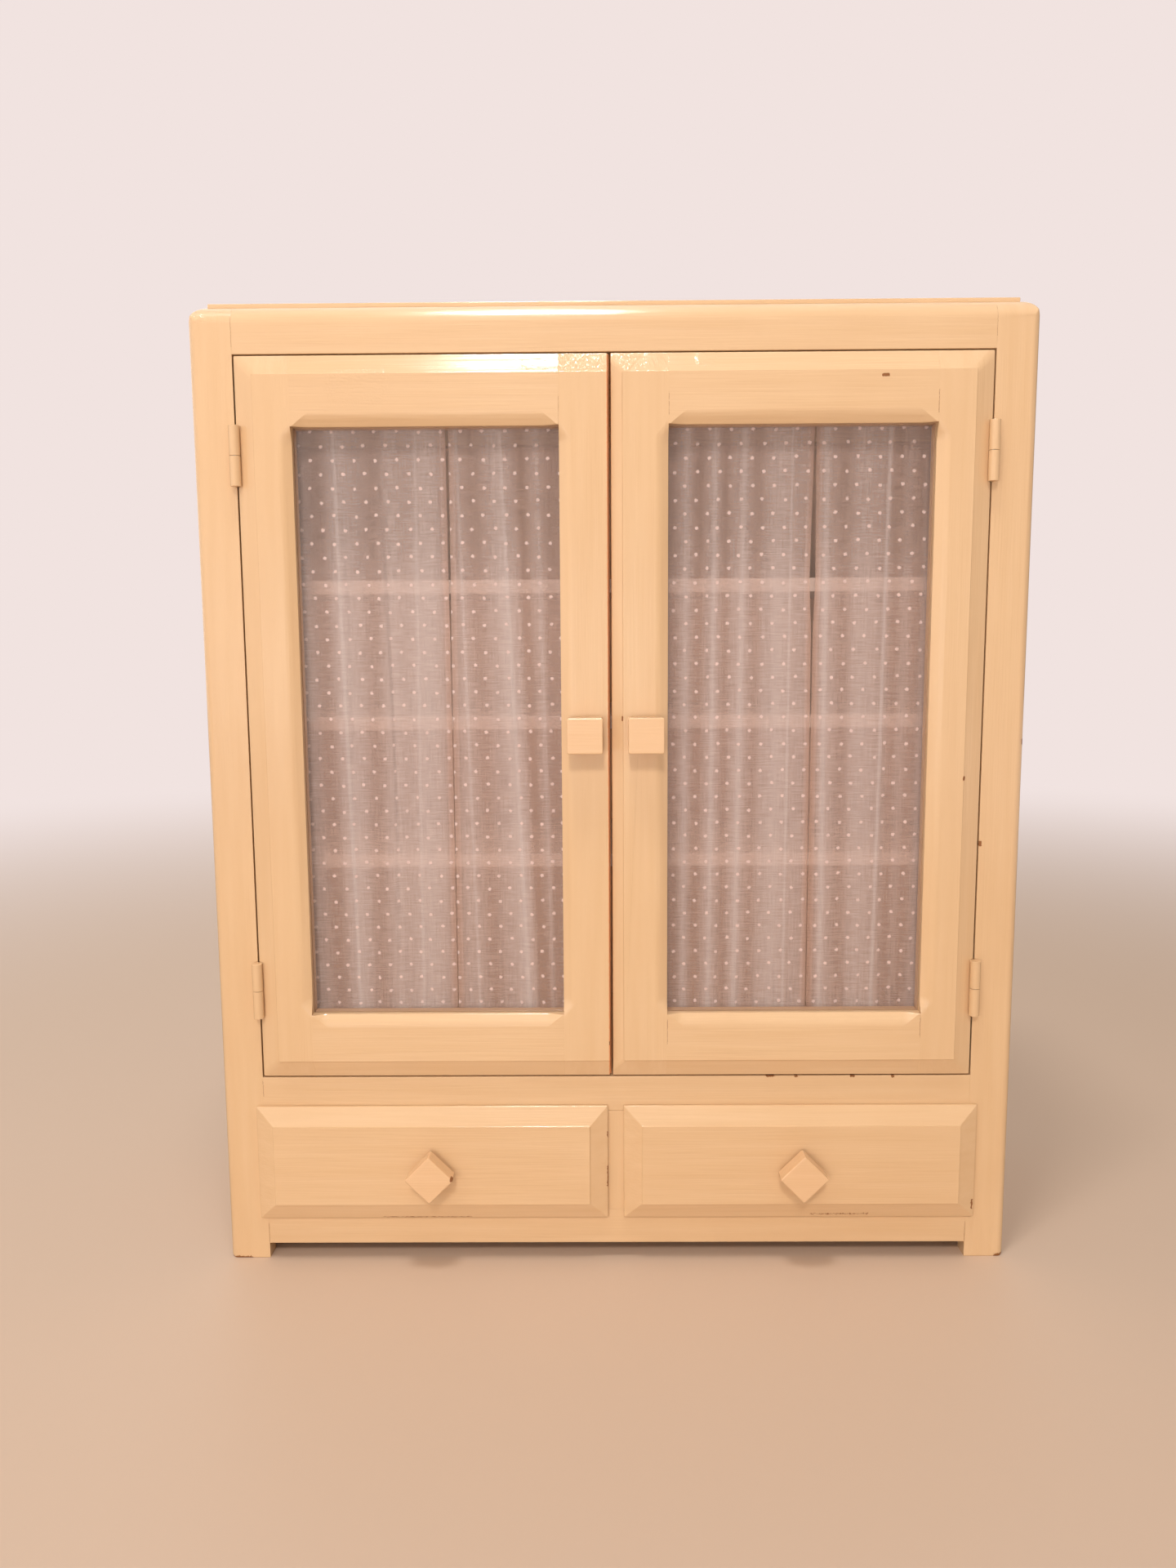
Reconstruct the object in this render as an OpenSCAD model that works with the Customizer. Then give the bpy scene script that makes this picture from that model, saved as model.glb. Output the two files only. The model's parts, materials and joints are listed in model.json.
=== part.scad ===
// Painted wall cabinet with two glazed, curtained doors over two lipped drawers.
// Every module draws in one local frame: x across the front, y into the cabinet from
// the front plane of the face frame, z up from the floor. A piece that has a twin is
// drawn on the right and mirrored to the left.

/* [Cabinet] */
// Width over the two side boards
cabinet_w = 700; // [670:1:760]
// Height of the side boards, without the cap
carcass_h = 830; // [810:1:900]
// Depth from the front of the face frame to the back
cabinet_d = 250; // [235:1:300]
// Thickness of the side boards
side_t = 18; // [16:0.5:20]
// Radius of the outer top corners
corner_r = 17; // [8:0.5:17]
// Radius worn on the outer corners of the feet
foot_r = 4; // [1:0.5:6]
// Thickness of the top board
top_t = 18; // [15:0.5:20]
// Thickness of the thin cap on the top
cap_t = 4; // [3:0.5:6]
// How far the cap stops short of the outer side faces
cap_inset = 13; // [6:0.5:20]
// Thickness of the base board under the drawers
base_t = 12; // [9:0.5:16]
// Thickness of the cupboard floor above the drawers
floor_t = 16; // [12:0.5:18]
// Depth of the housings cut in the side boards
housing_d = 6; // [4:0.5:9]
// Thickness of the plywood back
back_t = 4; // [3:0.5:6]
// Width of the rebate that takes the back
back_rebate_w = 8; // [5:0.5:10]
// How far the back stops below the top of the carcass
back_drop = 6; // [4:0.5:10]

/* [Wall fixing] */
// Height of the rail that carries the wall screws
hanging_rail_h = 60; // [45:1:80]
// Thickness of that rail
hanging_rail_t = 18; // [15:0.5:20]
// Distance between the two wall screw holes
wall_hole_spacing = 480; // [400:1:560]
// Radius of the wall screw holes
wall_hole_r = 3; // [2:0.1:4]

/* [Face frame] */
// Thickness of the face frame
frame_t = 18; // [16:0.5:22]
// Width of the outer stiles
stile_w = 36; // [30:0.5:45]
// Height of the top rail
top_rail_h = 40; // [36:0.5:50]
// Height of the rail between doors and drawers
middle_rail_h = 32; // [28:0.5:40]
// Height of the rail under the drawers
bottom_rail_h = 32; // [26:0.5:40]
// Free height between the floor and the bottom rail
foot_h = 14; // [8:0.5:30]
// Height of the drawer openings
drawer_opening_h = 92.5; // [85:0.5:110]
// Width of the muntin between the drawers
muntin_w = 26; // [22:0.5:34]
// Radius along the front top edge
top_edge_r = 16; // [8:0.5:17]
// Radius down the front outer edges
side_edge_r = 7; // [3:0.5:10]
// Thickness of the tenons in the face frame
frame_tenon_t = 6; // [5:0.5:7]
// Length of the rail tenons in the face frame
frame_tenon_l = 20; // [14:0.5:24]
// Length of the muntin's stub tenons
stub_tenon_l = 10; // [6:0.5:12]
// Shoulder left beside a tenon
shoulder = 5; // [4:0.5:7]

/* [Doors] */
// Gap round the doors
door_gap = 1.2; // [1:0.1:2]
// How far the flat of a door stands in front of the face frame
field_out = 8.2; // [6.2:0.1:9.2]
// How far a door reaches back behind the front plane
door_in = 13.8; // [12:0.1:16]
// Width of the bevel round doors and drawers
bevel_w = 16; // [12:0.5:18]
// Height of the small step where the bevel meets the flat
bevel_step = 1.2; // [0.6:0.1:2]
// Width of the hinge stiles
hinge_stile_w = 46.6; // [42:0.1:52]
// Width of the left door's meeting stile
left_meeting_w = 40.2; // [38:0.1:46]
// Width of the right door's meeting stile
right_meeting_w = 47.5; // [44:0.1:52]
// Height of the door rails
door_rail_h = 58; // [50:0.5:66]
// Middle of the gap between the doors, from the middle of the cabinet
meeting_x = -3.65; // [-6:0.05:6]
// Gap between the meeting edges at the front
meeting_gap = 2.7; // [2.4:0.1:4]
// Width of the bevel on the right door's meeting edge
meeting_bevel_w = 9.5; // [6:0.5:12]
// Width of the closing lip on the left door's meeting edge
lip_w = 1.4; // [0.8:0.1:1.8]
// Distance of that lip behind the front plane
lip_in = 3; // [2:0.5:5]
// Width of the rebate behind the right door's meeting edge
lip_rebate_w = 4; // [3:0.5:6]
// Thickness of the tenons in the doors
door_tenon_t = 7; // [6:0.5:7.5]
// Length of the tenons in the doors
door_tenon_l = 26; // [20:0.5:28]

/* [Glazing] */
// Width of the stopped chamfers round the glass openings
chamfer_w = 8; // [5:0.5:9]
// Depth of those chamfers
chamfer_d = 5; // [3:0.5:6]
// Length over which a chamfer dies out towards a corner
chamfer_run = 10; // [6:0.5:16]
// Distance of a chamfer's ends from the corners of the opening
chamfer_stop = 1; // [0.5:0.5:5]
// Width of the rebate that takes the glass
glass_rebate = 8; // [6:0.5:9]
// Distance of the glass behind the front plane
glass_in = 2; // [1:0.5:3]
// Thickness of the glass
glass_t = 3; // [2:0.5:4]
// Free space round the edge of the glass
glass_fit = 0.5; // [0.3:0.1:1]
// Depth of the beads behind the glass
bead_d = 8; // [6:0.5:8.5]
// Gap at each end of the level glazing beads
bead_fit = 0.2; // [0.1:0.05:0.5]

/* [Hinges] */
// Radius of the hinge knuckles
knuckle_r = 4.45; // [4:0.05:5]
// Length of one knuckle
knuckle_l = 24.5; // [20:0.5:30]
// Clearance of a knuckle over the bevel beside it
knuckle_clear = 0.37; // [0.3:0.01:0.6]
// Gap between the two knuckles of a hinge
knuckle_gap = 0.3; // [0.2:0.05:0.5]
// Radius of the hinge pins
pin_r = 2.4; // [2:0.05:2.8]
// Clearance round a pin in its bore
pin_clear = 0.08; // [0.05:0.01:0.1]
// Metal left over the end of a bore
bore_cap = 3; // [2:0.5:5]
// Thickness of the hinge leaves
leaf_t = 1.4; // [1:0.1:1.8]
// Depth of the hinge leaves from the front plane
leaf_in = 13; // [10:0.5:13.5]
// Middle of the upper hinges below the top of the door opening
upper_hinge_z = 82; // [60:1:110]
// Middle of the lower hinges above the bottom of the door opening
lower_hinge_z = 81; // [60:1:110]

/* [Handles and knobs] */
// Side of the square block of a handle or knob
block_w = 30; // [24:0.5:34]
// Thickness of the block
block_t = 16; // [12:0.5:20]
// Radius on the edges of the block
block_r = 1.4; // [0.6:0.1:3]
// Radius of the round neck behind the block
neck_r = 8; // [6.5:0.5:11]
// Length of the neck
neck_l = 5; // [3:0.5:8]
// Radius of the peg glued into the wood
peg_r = 5; // [3.5:0.1:6]
// Length of that peg
peg_l = 12; // [8:0.5:14]
// Clearance round the peg in its hole
peg_clear = 0.1; // [0.1:0.05:0.3]
// How far the door handles sit below the middle of the doors
handle_drop = 4.5; // [-60:0.5:60]
// How far the drawer knobs sit below the middle of the drawers
knob_drop = 3.8; // [-10:0.1:10]
// Turn of the drawer knobs on their pegs
knob_turn = 45; // [0:1:90]

/* [Drawers] */
// How far a drawer front laps over the face frame
lip_lap = 6; // [4:0.5:9]
// How far the edge of the drawer lip stands in front of the face frame
lip_out = 3.5; // [2.5:0.1:5]
// Running gap between the drawer lip and the face frame
lip_clear = 0.3; // [0.2:0.05:0.5]
// Clearance on each side of a drawer in its opening
drawer_clear = 1.5; // [1:0.1:3]
// Gap under the drawer sides
run_clear = 0.3; // [0.2:0.05:0.5]
// Clearance over the drawer sides
drawer_head = 4.5; // [2:0.5:10]
// Room between a drawer and the back panel
drawer_room = 18; // [15:1:60]
// How far the drawer front reaches back behind the front plane
drawer_front_in = 12; // [11:0.5:16]
// Thickness of the drawer sides
drawer_side_t = 10; // [8:0.5:12]
// Thickness of the drawer back
drawer_back_t = 10; // [8:0.5:12]
// How far the drawer sides run on past the back
drawer_tail = 4; // [2:0.5:8]
// How far the drawer back stays below the sides
drawer_back_drop = 6; // [0:0.5:12]
// Depth of the housings for the drawer back
back_housing_d = 4; // [3:0.5:5]
// Thickness of the drawer bottom
drawer_bottom_t = 4; // [3:0.5:5]
// Depth of the grooves for the drawer bottom
groove_d = 5; // [3:0.5:6]
// Height of the drawer bottom above the lower edge of the sides
groove_up = 6; // [4:0.5:9]
// Number of dovetails at each front corner
tail_count = 3; // [2:1:4]
// Length of the dovetails
tail_l = 10; // [7:0.5:10.5]
// Width of a dovetail at its narrow root
tail_w = 13; // [9:0.5:15]
// Flare of a dovetail, as rise per length
tail_flare = 0.17; // [0.1:0.01:0.2]
// Width of the strips that keep the drawers from tipping
kicker_w = 30; // [20:1:40]
// Height of the strips that guide the drawers
guide_h = 30; // [20:1:50]

/* [Shelves] */
// Thickness of the shelves
shelf_t = 12; // [9:0.5:18]
// Distance of the shelves behind the front plane
shelf_in = 45; // [36:1:80]
// Free height over the cupboard floor
lower_rise = 180.5; // [120:0.5:200]
// Step from the lower to the middle shelf
middle_rise = 125; // [90:0.5:140]
// Step from the middle to the upper shelf
upper_rise = 120; // [90:0.5:140]
// Thickness of the shelf cleats
cleat_w = 12; // [8:0.5:18]
// Height of the shelf cleats
cleat_h = 18; // [12:0.5:25]

/* [Catches] */
// Length of a magnetic catch
catch_l = 40; // [30:1:50]
// Depth of a catch, front to back
catch_d = 13.7; // [10:0.1:16]
// Height of a catch
catch_h = 15; // [10:0.5:18]
// Middle of a catch from the middle of the cabinet
catch_x = 40; // [32:1:60]
// Thickness of the steel plate on the door
plate_t = 1.2; // [0.8:0.1:2]
// Width of the rim left round the plate within the catch's face
plate_rim = 2; // [1:0.5:4]
// Gap between plate and catch when the door is shut
catch_gap = 0.3; // [0.2:0.05:0.6]

/* [Curtains] */
// Radius of the curtain rods
rod_r = 2; // [1.5:0.1:2.5]
// Distance of the rods behind the back of the doors
rod_back = 8.2; // [7:0.1:10]
// Distance of the rods above and below the glass opening
rod_margin = 11; // [9.5:0.5:16]
// Distance of the screw eyes beyond the glass opening
eye_margin = 12.6; // [10.5:0.1:16]
// Length of rod that passes each eye
rod_end = 5; // [3:0.5:10]
// Radius of the wire of the screw eyes
wire_r = 0.8; // [0.6:0.05:1]
// Radius of the collar of the screw eyes
collar_r = 2; // [1.5:0.1:3]
// Play of the rods in the eyes and in the cloth
rod_play = 0.3; // [0.2:0.05:0.5]
// Thickness of the gathered cloth
cloth_t = 0.8; // [0.6:0.1:1.2]
// How far the curtains reach past the glass opening
curtain_past = 7; // [3:0.5:8]
// Where the left curtain parts, from the middle of the cabinet
left_split = 143; // [100:1:210]
// Where the right curtain parts, from the middle of the cabinet
right_split = 170; // [100:1:210]
// Gap where a curtain parts
split_gap = 1; // [0.6:0.1:3]
// Depth of the folds to each side of the rods
fold_rise = 3; // [2:0.1:3.4]
// Distance from fold to fold
fold_pitch = 24; // [18:0.5:36]
// Height over which the folds open below and above the rods
gather_h = 45; // [20:1:90]

/* [Hidden] */

$fn = 64;
// How far a cutter reaches past the face that it cuts, and a form into the one it joins
cut = 1;
left = -1;
right = 1;

enamel = "#F1C79C";
handle_enamel = "#F5CF97";
bare_wood = "#C59A6B";
plywood = "#D2AE7F";
glass_tint = "#DDE8E4";
steel = "#8F8D88";
brass = "#C9A656";
cloth = "#C9BDB6";
catch_brown = "#6B4A33";

// Widths, taken from the middle of the cabinet outwards
half_w = cabinet_w / 2;
inside_x = half_w - side_t;
opening_x = half_w - stile_w;
door_edge_x = opening_x - door_gap;
glass_x1 = door_edge_x - hinge_stile_w;
muntin_x = muntin_w / 2;

// Heights
rail_z = foot_h;
drawer_z0 = rail_z + bottom_rail_h;
drawer_z1 = drawer_z0 + drawer_opening_h;
door_z0 = drawer_z1 + middle_rail_h;
door_z1 = carcass_h - top_rail_h;
leaf_z0 = door_z0 + door_gap;
leaf_z1 = door_z1 - door_gap;
glass_z0 = leaf_z0 + door_rail_h;
glass_z1 = leaf_z1 - door_rail_h;
floor_z0 = door_z0 - floor_t;
top_z0 = carcass_h - top_t;
base_z0 = drawer_z0 - base_t;
lower_z = door_z0 + lower_rise;
middle_z = lower_z + middle_rise;
upper_z = middle_z + upper_rise;

// Depths, taken from the front plane of the face frame
back_y = cabinet_d - back_t;
field_y = -field_out;
bevel_drop = field_out - bevel_step;
drawer_field_y = field_y - lip_out;
rod_y = door_in + rod_back;
front_reach = lip_out + field_out + neck_l + block_t;

// The origin lies under the middle of the whole object
front_y = front_reach - (cabinet_d + front_reach) / 2;

// The hinge axis clears the bevel of the door and the face of the stile
bevel_slope = bevel_drop / bevel_w;
hinge_x = opening_x - door_gap / 2;
hinge_out = (knuckle_r + knuckle_clear) * norm([1, bevel_slope]) - door_gap / 2 * bevel_slope;
hinge_l = 2 * knuckle_l + knuckle_gap;
hinge_zs = [door_z0 + lower_hinge_z, door_z1 - upper_hinge_z];
bore_r = pin_r + pin_clear;

// The two doors differ only at their meeting edges
function meeting_edge_x(side) = side * meeting_x + meeting_gap / 2;
function meeting_w(side) = side == left ? left_meeting_w : right_meeting_w;
function meeting_bevel(side) = side == left ? 0 : meeting_bevel_w;
function glass_x0(side) = meeting_edge_x(side) + meeting_w(side);
function handle_x(side) = (meeting_edge_x(side) + meeting_bevel(side) + glass_x0(side)) / 2;
handle_z = (leaf_z0 + leaf_z1) / 2 - handle_drop;

// Drawer box and lipped front
drawer_l = back_y - drawer_room;
box_x0 = muntin_x + drawer_clear;
box_x1 = opening_x - drawer_clear;
box_z0 = drawer_z0 + run_clear;
box_z1 = drawer_z1 - drawer_head;
front_x = [muntin_x - lip_lap, opening_x + lip_lap];
front_z = [drawer_z0 - lip_lap, drawer_z1 + lip_lap];
knob_x = (front_x[0] + front_x[1]) / 2;
knob_z = (front_z[0] + front_z[1]) / 2 - knob_drop;
bottom_z = [box_z0 + groove_up, box_z0 + groove_up + drawer_bottom_t];
drawer_back_y = [drawer_l - drawer_tail - drawer_back_t, drawer_l - drawer_tail];

// Catches and curtains
catch_y = door_in + plate_t + catch_gap;
rod_zs = [glass_z0 - rod_margin, glass_z1 + rod_margin];
casing_r0 = rod_r + rod_play;
casing_r1 = casing_r0 + cloth_t;
eye_r = rod_r + rod_play + wire_r;
fold_columns = 32;
fold_rows = 8;

// A box from its lowest to its highest corner along each axis
module block(x, y, z) {
    translate([x[0], y[0], z[0]])
        cube([x[1] - x[0], y[1] - y[0], z[1] - z[0]]);
}

// Puts a piece drawn on the right on its own side of the cabinet
module on_side(side) {
    translate([0, front_y, 0])
        mirror([side == left ? 1 : 0, 0, 0])
            children();
}

module on_both_sides() {
    on_side(left) children();
    on_side(right) children();
}

module in_middle() {
    translate([0, front_y, 0]) children();
}

// Extrudes an outline drawn in x and z through the cabinet's depth
module through_depth(y) {
    translate([0, y[1], 0])
        rotate([90, 0, 0])
            linear_extrude(y[1] - y[0])
                children();
}

// Extrudes an outline drawn in y and z across the cabinet
module across(x) {
    translate([x[0], 0, 0])
        rotate([90, 0, 90])
            linear_extrude(x[1] - x[0])
                children();
}

// What a round of radius r takes off a corner that lies at the origin, top right
module corner_waste(r) {
    difference() {
        translate([-r, -r]) square(r + cut);
        translate([-r, -r]) circle(r);
    }
}

// Front view of one half of the carcass: rounded top corner, worn foot
module carcass_outline() {
    difference() {
        square([half_w, carcass_h]);
        translate([half_w, carcass_h]) corner_waste(corner_r);
        translate([half_w, 0]) mirror([0, 1]) corner_waste(foot_r);
    }
}

// Half of the face frame before it is divided: all its outer edges are rounded
module frame_form() {
    intersection() {
        through_depth([0, frame_t]) carcass_outline();
        across([-cut, half_w + cut])
            difference() {
                translate([0, -cut]) square([frame_t + cut, carcass_h + cut]);
                translate([0, carcass_h]) mirror([1, 0]) corner_waste(top_edge_r);
            }
        translate([0, 0, -cut])
            linear_extrude(carcass_h + 2 * cut)
                difference() {
                    translate([-cut, 0]) square([half_w + cut, frame_t + cut]);
                    translate([half_w, 0]) mirror([0, 1]) corner_waste(side_edge_r);
                }
    }
}

// Tenon, or the mortise for it, of a face frame rail with its edges at z
module frame_tenon(z) {
    block([opening_x - cut, opening_x + frame_tenon_l],
        [(frame_t - frame_tenon_t) / 2, (frame_t + frame_tenon_t) / 2],
        [z[0] + shoulder, z[1] - shoulder]);
}

top_rail_zs = [door_z1, carcass_h];
middle_rail_zs = [drawer_z1, door_z0];
bottom_rail_zs = [rail_z, drawer_z0];

// Recess for a hinge leaf in a wooden edge, with x as its two faces
module leaf_recesses(x) {
    for (z = hinge_zs) {
        block(x, [-cut, leaf_in], [z - hinge_l / 2, z + hinge_l / 2]);
    }
}

module face_stile(side) {
    color(enamel) on_side(side)
        difference() {
            intersection() {
                frame_form();
                block([opening_x, half_w + cut], [-cut, frame_t + cut], [-cut, carcass_h + cut]);
            }
            frame_tenon(top_rail_zs);
            frame_tenon(middle_rail_zs);
            frame_tenon(bottom_rail_zs);
            leaf_recesses([opening_x - cut, opening_x + leaf_t]);
        }
}

module rail_tenons(z) {
    frame_tenon(z);
    mirror([1, 0, 0]) frame_tenon(z);
}

module top_face_rail() {
    color(enamel) in_middle() {
        across([-opening_x, opening_x])
            difference() {
                translate([0, door_z1]) square([frame_t, top_rail_h]);
                translate([0, carcass_h]) mirror([1, 0]) corner_waste(top_edge_r);
            }
        rail_tenons(top_rail_zs);
    }
}

// Stub tenons at both ends of the muntin, or the mortises for them
module stub_tenons() {
    block([shoulder - muntin_x, muntin_x - shoulder],
        [(frame_t - frame_tenon_t) / 2, (frame_t + frame_tenon_t) / 2],
        [drawer_z0 - stub_tenon_l, drawer_z1 + stub_tenon_l]);
}

module middle_face_rail() {
    color(enamel) in_middle()
        difference() {
            union() {
                block([-opening_x, opening_x], [0, frame_t], middle_rail_zs);
                rail_tenons(middle_rail_zs);
            }
            stub_tenons();
        }
}

module bottom_face_rail() {
    color(enamel) in_middle()
        difference() {
            union() {
                block([-opening_x, opening_x], [0, frame_t], bottom_rail_zs);
                rail_tenons(bottom_rail_zs);
            }
            stub_tenons();
        }
}

module drawer_muntin() {
    color(enamel) in_middle() {
        block([-muntin_x, muntin_x], [0, frame_t], [drawer_z0, drawer_z1]);
        stub_tenons();
    }
}

// Side board: housings for floor and base, groove for the top's tongue, rebate for the back
module side_board(side) {
    groove_x = [inside_x - cut, inside_x + housing_d];
    color(enamel) on_side(side)
        difference() {
            intersection() {
                through_depth([frame_t, cabinet_d]) carcass_outline();
                block([inside_x, half_w + cut], [0, cabinet_d + cut], [-cut, carcass_h + cut]);
            }
            block(groove_x, [frame_t - cut, back_y], [base_z0, drawer_z0]);
            block(groove_x, [frame_t - cut, back_y], [floor_z0, door_z0]);
            block(groove_x, [frame_t - cut, back_y], [top_z0, top_z0 + top_t / 2]);
            block([inside_x - cut, inside_x + back_rebate_w], [back_y, cabinet_d + cut],
                [base_z0, carcass_h - back_drop]);
        }
}

module top_board() {
    tongue_x = inside_x + housing_d;
    color(bare_wood) in_middle() {
        block([-inside_x, inside_x], [frame_t, back_y], [top_z0, carcass_h]);
        block([-tongue_x, tongue_x], [frame_t, back_y], [top_z0, top_z0 + top_t / 2]);
    }
}

// Thin cap: starts where the round of the top edge has levelled out
module top_cap() {
    cap_x = half_w - cap_inset;
    color(enamel) in_middle()
        block([-cap_x, cap_x], [top_edge_r - 1, cabinet_d], [carcass_h, carcass_h + cap_t]);
}

module housed_board(z) {
    edge_x = inside_x + housing_d;
    color(bare_wood) in_middle()
        block([-edge_x, edge_x], [frame_t, back_y], z);
}

module cupboard_floor() {
    housed_board([floor_z0, door_z0]);
}

module base_board() {
    housed_board([base_z0, drawer_z0]);
}

// The two holes for the wall screws, along y
module wall_holes() {
    for (side = [left, right]) {
        translate([side * wall_hole_spacing / 2, back_y - hanging_rail_t - cut,
            top_z0 - hanging_rail_h / 2])
            rotate([-90, 0, 0])
                cylinder(r = wall_hole_r, h = hanging_rail_t + back_t + 2 * cut);
    }
}

module back_panel() {
    edge_x = inside_x + back_rebate_w;
    color(plywood) in_middle()
        difference() {
            block([-edge_x, edge_x], [back_y, cabinet_d], [base_z0, carcass_h - back_drop]);
            wall_holes();
        }
}

module hanging_rail() {
    color(bare_wood) in_middle()
        difference() {
            block([-inside_x, inside_x], [back_y - hanging_rail_t, back_y],
                [top_z0 - hanging_rail_h, top_z0]);
            wall_holes();
        }
}

module drawer_divider() {
    color(bare_wood) in_middle()
        block([-muntin_x, muntin_x], [frame_t, back_y], [drawer_z0, drawer_z1]);
}

module drawer_guides() {
    color(bare_wood) on_both_sides()
        block([opening_x, inside_x], [frame_t, back_y], [drawer_z0, drawer_z0 + guide_h]);
}

module drawer_kickers() {
    color(bare_wood) {
        on_both_sides()
            block([inside_x - kicker_w, inside_x], [frame_t, back_y], [drawer_z1, floor_z0]);
        in_middle()
            block([-kicker_w, kicker_w], [frame_t, back_y], [drawer_z1, floor_z0]);
    }
}

module shelf(z) {
    color(bare_wood) in_middle()
        block([-inside_x, inside_x], [shelf_in, back_y], [z, z + shelf_t]);
}

module upper_shelf() {
    shelf(upper_z);
}

module middle_shelf() {
    shelf(middle_z);
}

module lower_shelf() {
    shelf(lower_z);
}

module shelf_cleats() {
    color(bare_wood) on_both_sides()
        for (z = [lower_z, middle_z, upper_z]) {
            block([inside_x - cleat_w, inside_x], [shelf_in, back_y], [z - cleat_h, z]);
        }
}

// One hinge leaf: a plate let into the wooden edge, bent forward into one knuckle.
// plate_x holds the two faces of the plate, knuckle_z the ends of the knuckle.
module hinge_leaf(plate_x, leaf_z, knuckle_z, bore_z) {
    difference() {
        union() {
            block(plate_x, [0, leaf_in], leaf_z);
            block(plate_x, [-hinge_out, cut], knuckle_z);
            translate([hinge_x, -hinge_out, knuckle_z[0]])
                cylinder(r = knuckle_r, h = knuckle_z[1] - knuckle_z[0]);
        }
        translate([hinge_x, -hinge_out, bore_z[0]])
            cylinder(r = bore_r, h = bore_z[1] - bore_z[0]);
    }
}

// The lower knuckle belongs to the frame and holds the pin
module frame_hinge_leaves() {
    color(enamel) on_both_sides()
        for (z = hinge_zs) {
            low = z - hinge_l / 2;
            hinge_leaf([opening_x, opening_x + leaf_t], [low, low + hinge_l],
                [low, low + knuckle_l], [low + bore_cap, low + knuckle_l + cut]);
        }
}

// The upper knuckle belongs to the door and lifts off the pin
module door_hinge_leaves(side) {
    color(enamel) on_side(side)
        for (z = hinge_zs) {
            high = z + hinge_l / 2;
            hinge_leaf([door_edge_x - leaf_t, door_edge_x], [high - hinge_l, high],
                [high - knuckle_l, high], [high - knuckle_l - cut, high - bore_cap]);
        }
}

module hinge_pins() {
    pin_l = hinge_l - 2 * bore_cap - knuckle_gap;
    color(steel) on_both_sides()
        for (z = hinge_zs) {
            translate([hinge_x, -hinge_out, z - hinge_l / 2 + bore_cap])
                cylinder(r = pin_r, h = pin_l);
        }
}

// Section of a bevelled panel between a and b: flat in front, a small step down at the
// inner edge of each bevel, then a slope to the outer edge
function bevelled(a, b, back, field, wa, wb) = concat(
    [[a, back]],
    wa > 0 ? [[a, field + bevel_step + bevel_slope * wa], [a + wa, field + bevel_step]] : [],
    [[a + wa, field], [b - wb, field]],
    wb > 0 ? [[b - wb, field + bevel_step], [b, field + bevel_step + bevel_slope * wb]] : [],
    [[b, back]]);

// What the bevel takes off along a horizontal edge at z = 0, drawn in y and z, edge up
module bevel_waste(field) {
    polygon([[field - cut, -bevel_w], [field + bevel_step, -bevel_w],
        [field + field_out + bevel_slope * cut, cut], [field - cut, cut]]);
}

// Bevelled panel over x and z, with bevels of width w0 and w1 down its sides
module bevelled_panel(x, z, back, field, w0, w1) {
    difference() {
        translate([0, 0, z[0]])
            linear_extrude(z[1] - z[0])
                polygon(bevelled(x[0], x[1], back, field, w0, w1));
        across([x[0] - cut, x[1] + cut])
            translate([0, z[1]]) bevel_waste(field);
        across([x[0] - cut, x[1] + cut])
            translate([0, z[0]]) mirror([0, 1]) bevel_waste(field);
    }
}

// Stopped chamfer along z beside an opening that is length high. The arris lies at the
// origin, with the wood towards +x and +y. The cutter is a trapezium square to the
// chamfer's face, and its slanted ends run out at the arris.
module stopped_chamfer(length) {
    depth = chamfer_w * chamfer_d / norm([chamfer_w, chamfer_d]);
    past = 2;
    slant = past * chamfer_run / depth;
    rotate([0, 0, atan2(chamfer_w, chamfer_d)])
        rotate([90, 0, 0])
            linear_extrude(3 * chamfer_w, center = true)
                polygon([[-past, chamfer_stop - slant],
                    [depth, chamfer_stop + chamfer_run],
                    [depth, length - chamfer_stop - chamfer_run],
                    [-past, length - chamfer_stop + slant]]);
}

// The rebate for the glass, which runs through all four members of a door
module rebate_cut(side) {
    block([glass_x0(side) - glass_rebate, glass_x1 + glass_rebate],
        [glass_in, door_in + cut],
        [glass_z0 - glass_rebate, glass_z1 + glass_rebate]);
}

// Part of the bevelled door between x[0] and x[1] and between z[0] and z[1]
module door_member(side, x, z) {
    intersection() {
        bevelled_panel([meeting_edge_x(side), door_edge_x], [leaf_z0, leaf_z1],
            door_in, field_y, meeting_bevel(side), bevel_w);
        block(x, [field_y - cut, door_in + cut], z);
    }
}

// Tenons at both ends of a door rail, or the mortises for them. The tenon lies in the
// middle of the wood between the bevel and the rebate.
module door_tenon(side, z) {
    block([glass_x0(side) - door_tenon_l, glass_x1 + door_tenon_l],
        [glass_in - door_tenon_t, glass_in], z);
}

top_tenon_z = [glass_z1 + glass_rebate + shoulder, leaf_z1 - bevel_w - shoulder];
bottom_tenon_z = [leaf_z0 + bevel_w + shoulder, glass_z0 - glass_rebate - shoulder];
door_z_span = [leaf_z0 - cut, leaf_z1 + cut];

module door_hinge_stile(side) {
    color(enamel) on_side(side)
        difference() {
            door_member(side, [glass_x1, door_edge_x + cut], door_z_span);
            rebate_cut(side);
            translate([glass_x1, field_y, glass_z0])
                stopped_chamfer(glass_z1 - glass_z0);
            door_tenon(side, top_tenon_z);
            door_tenon(side, bottom_tenon_z);
            leaf_recesses([door_edge_x - leaf_t, door_edge_x + cut]);
        }
}

module peg_hole(x, field, z) {
    translate([x, field - cut, z])
        rotate([-90, 0, 0])
            cylinder(r = peg_r + peg_clear, h = peg_l + peg_clear + cut);
}

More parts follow.
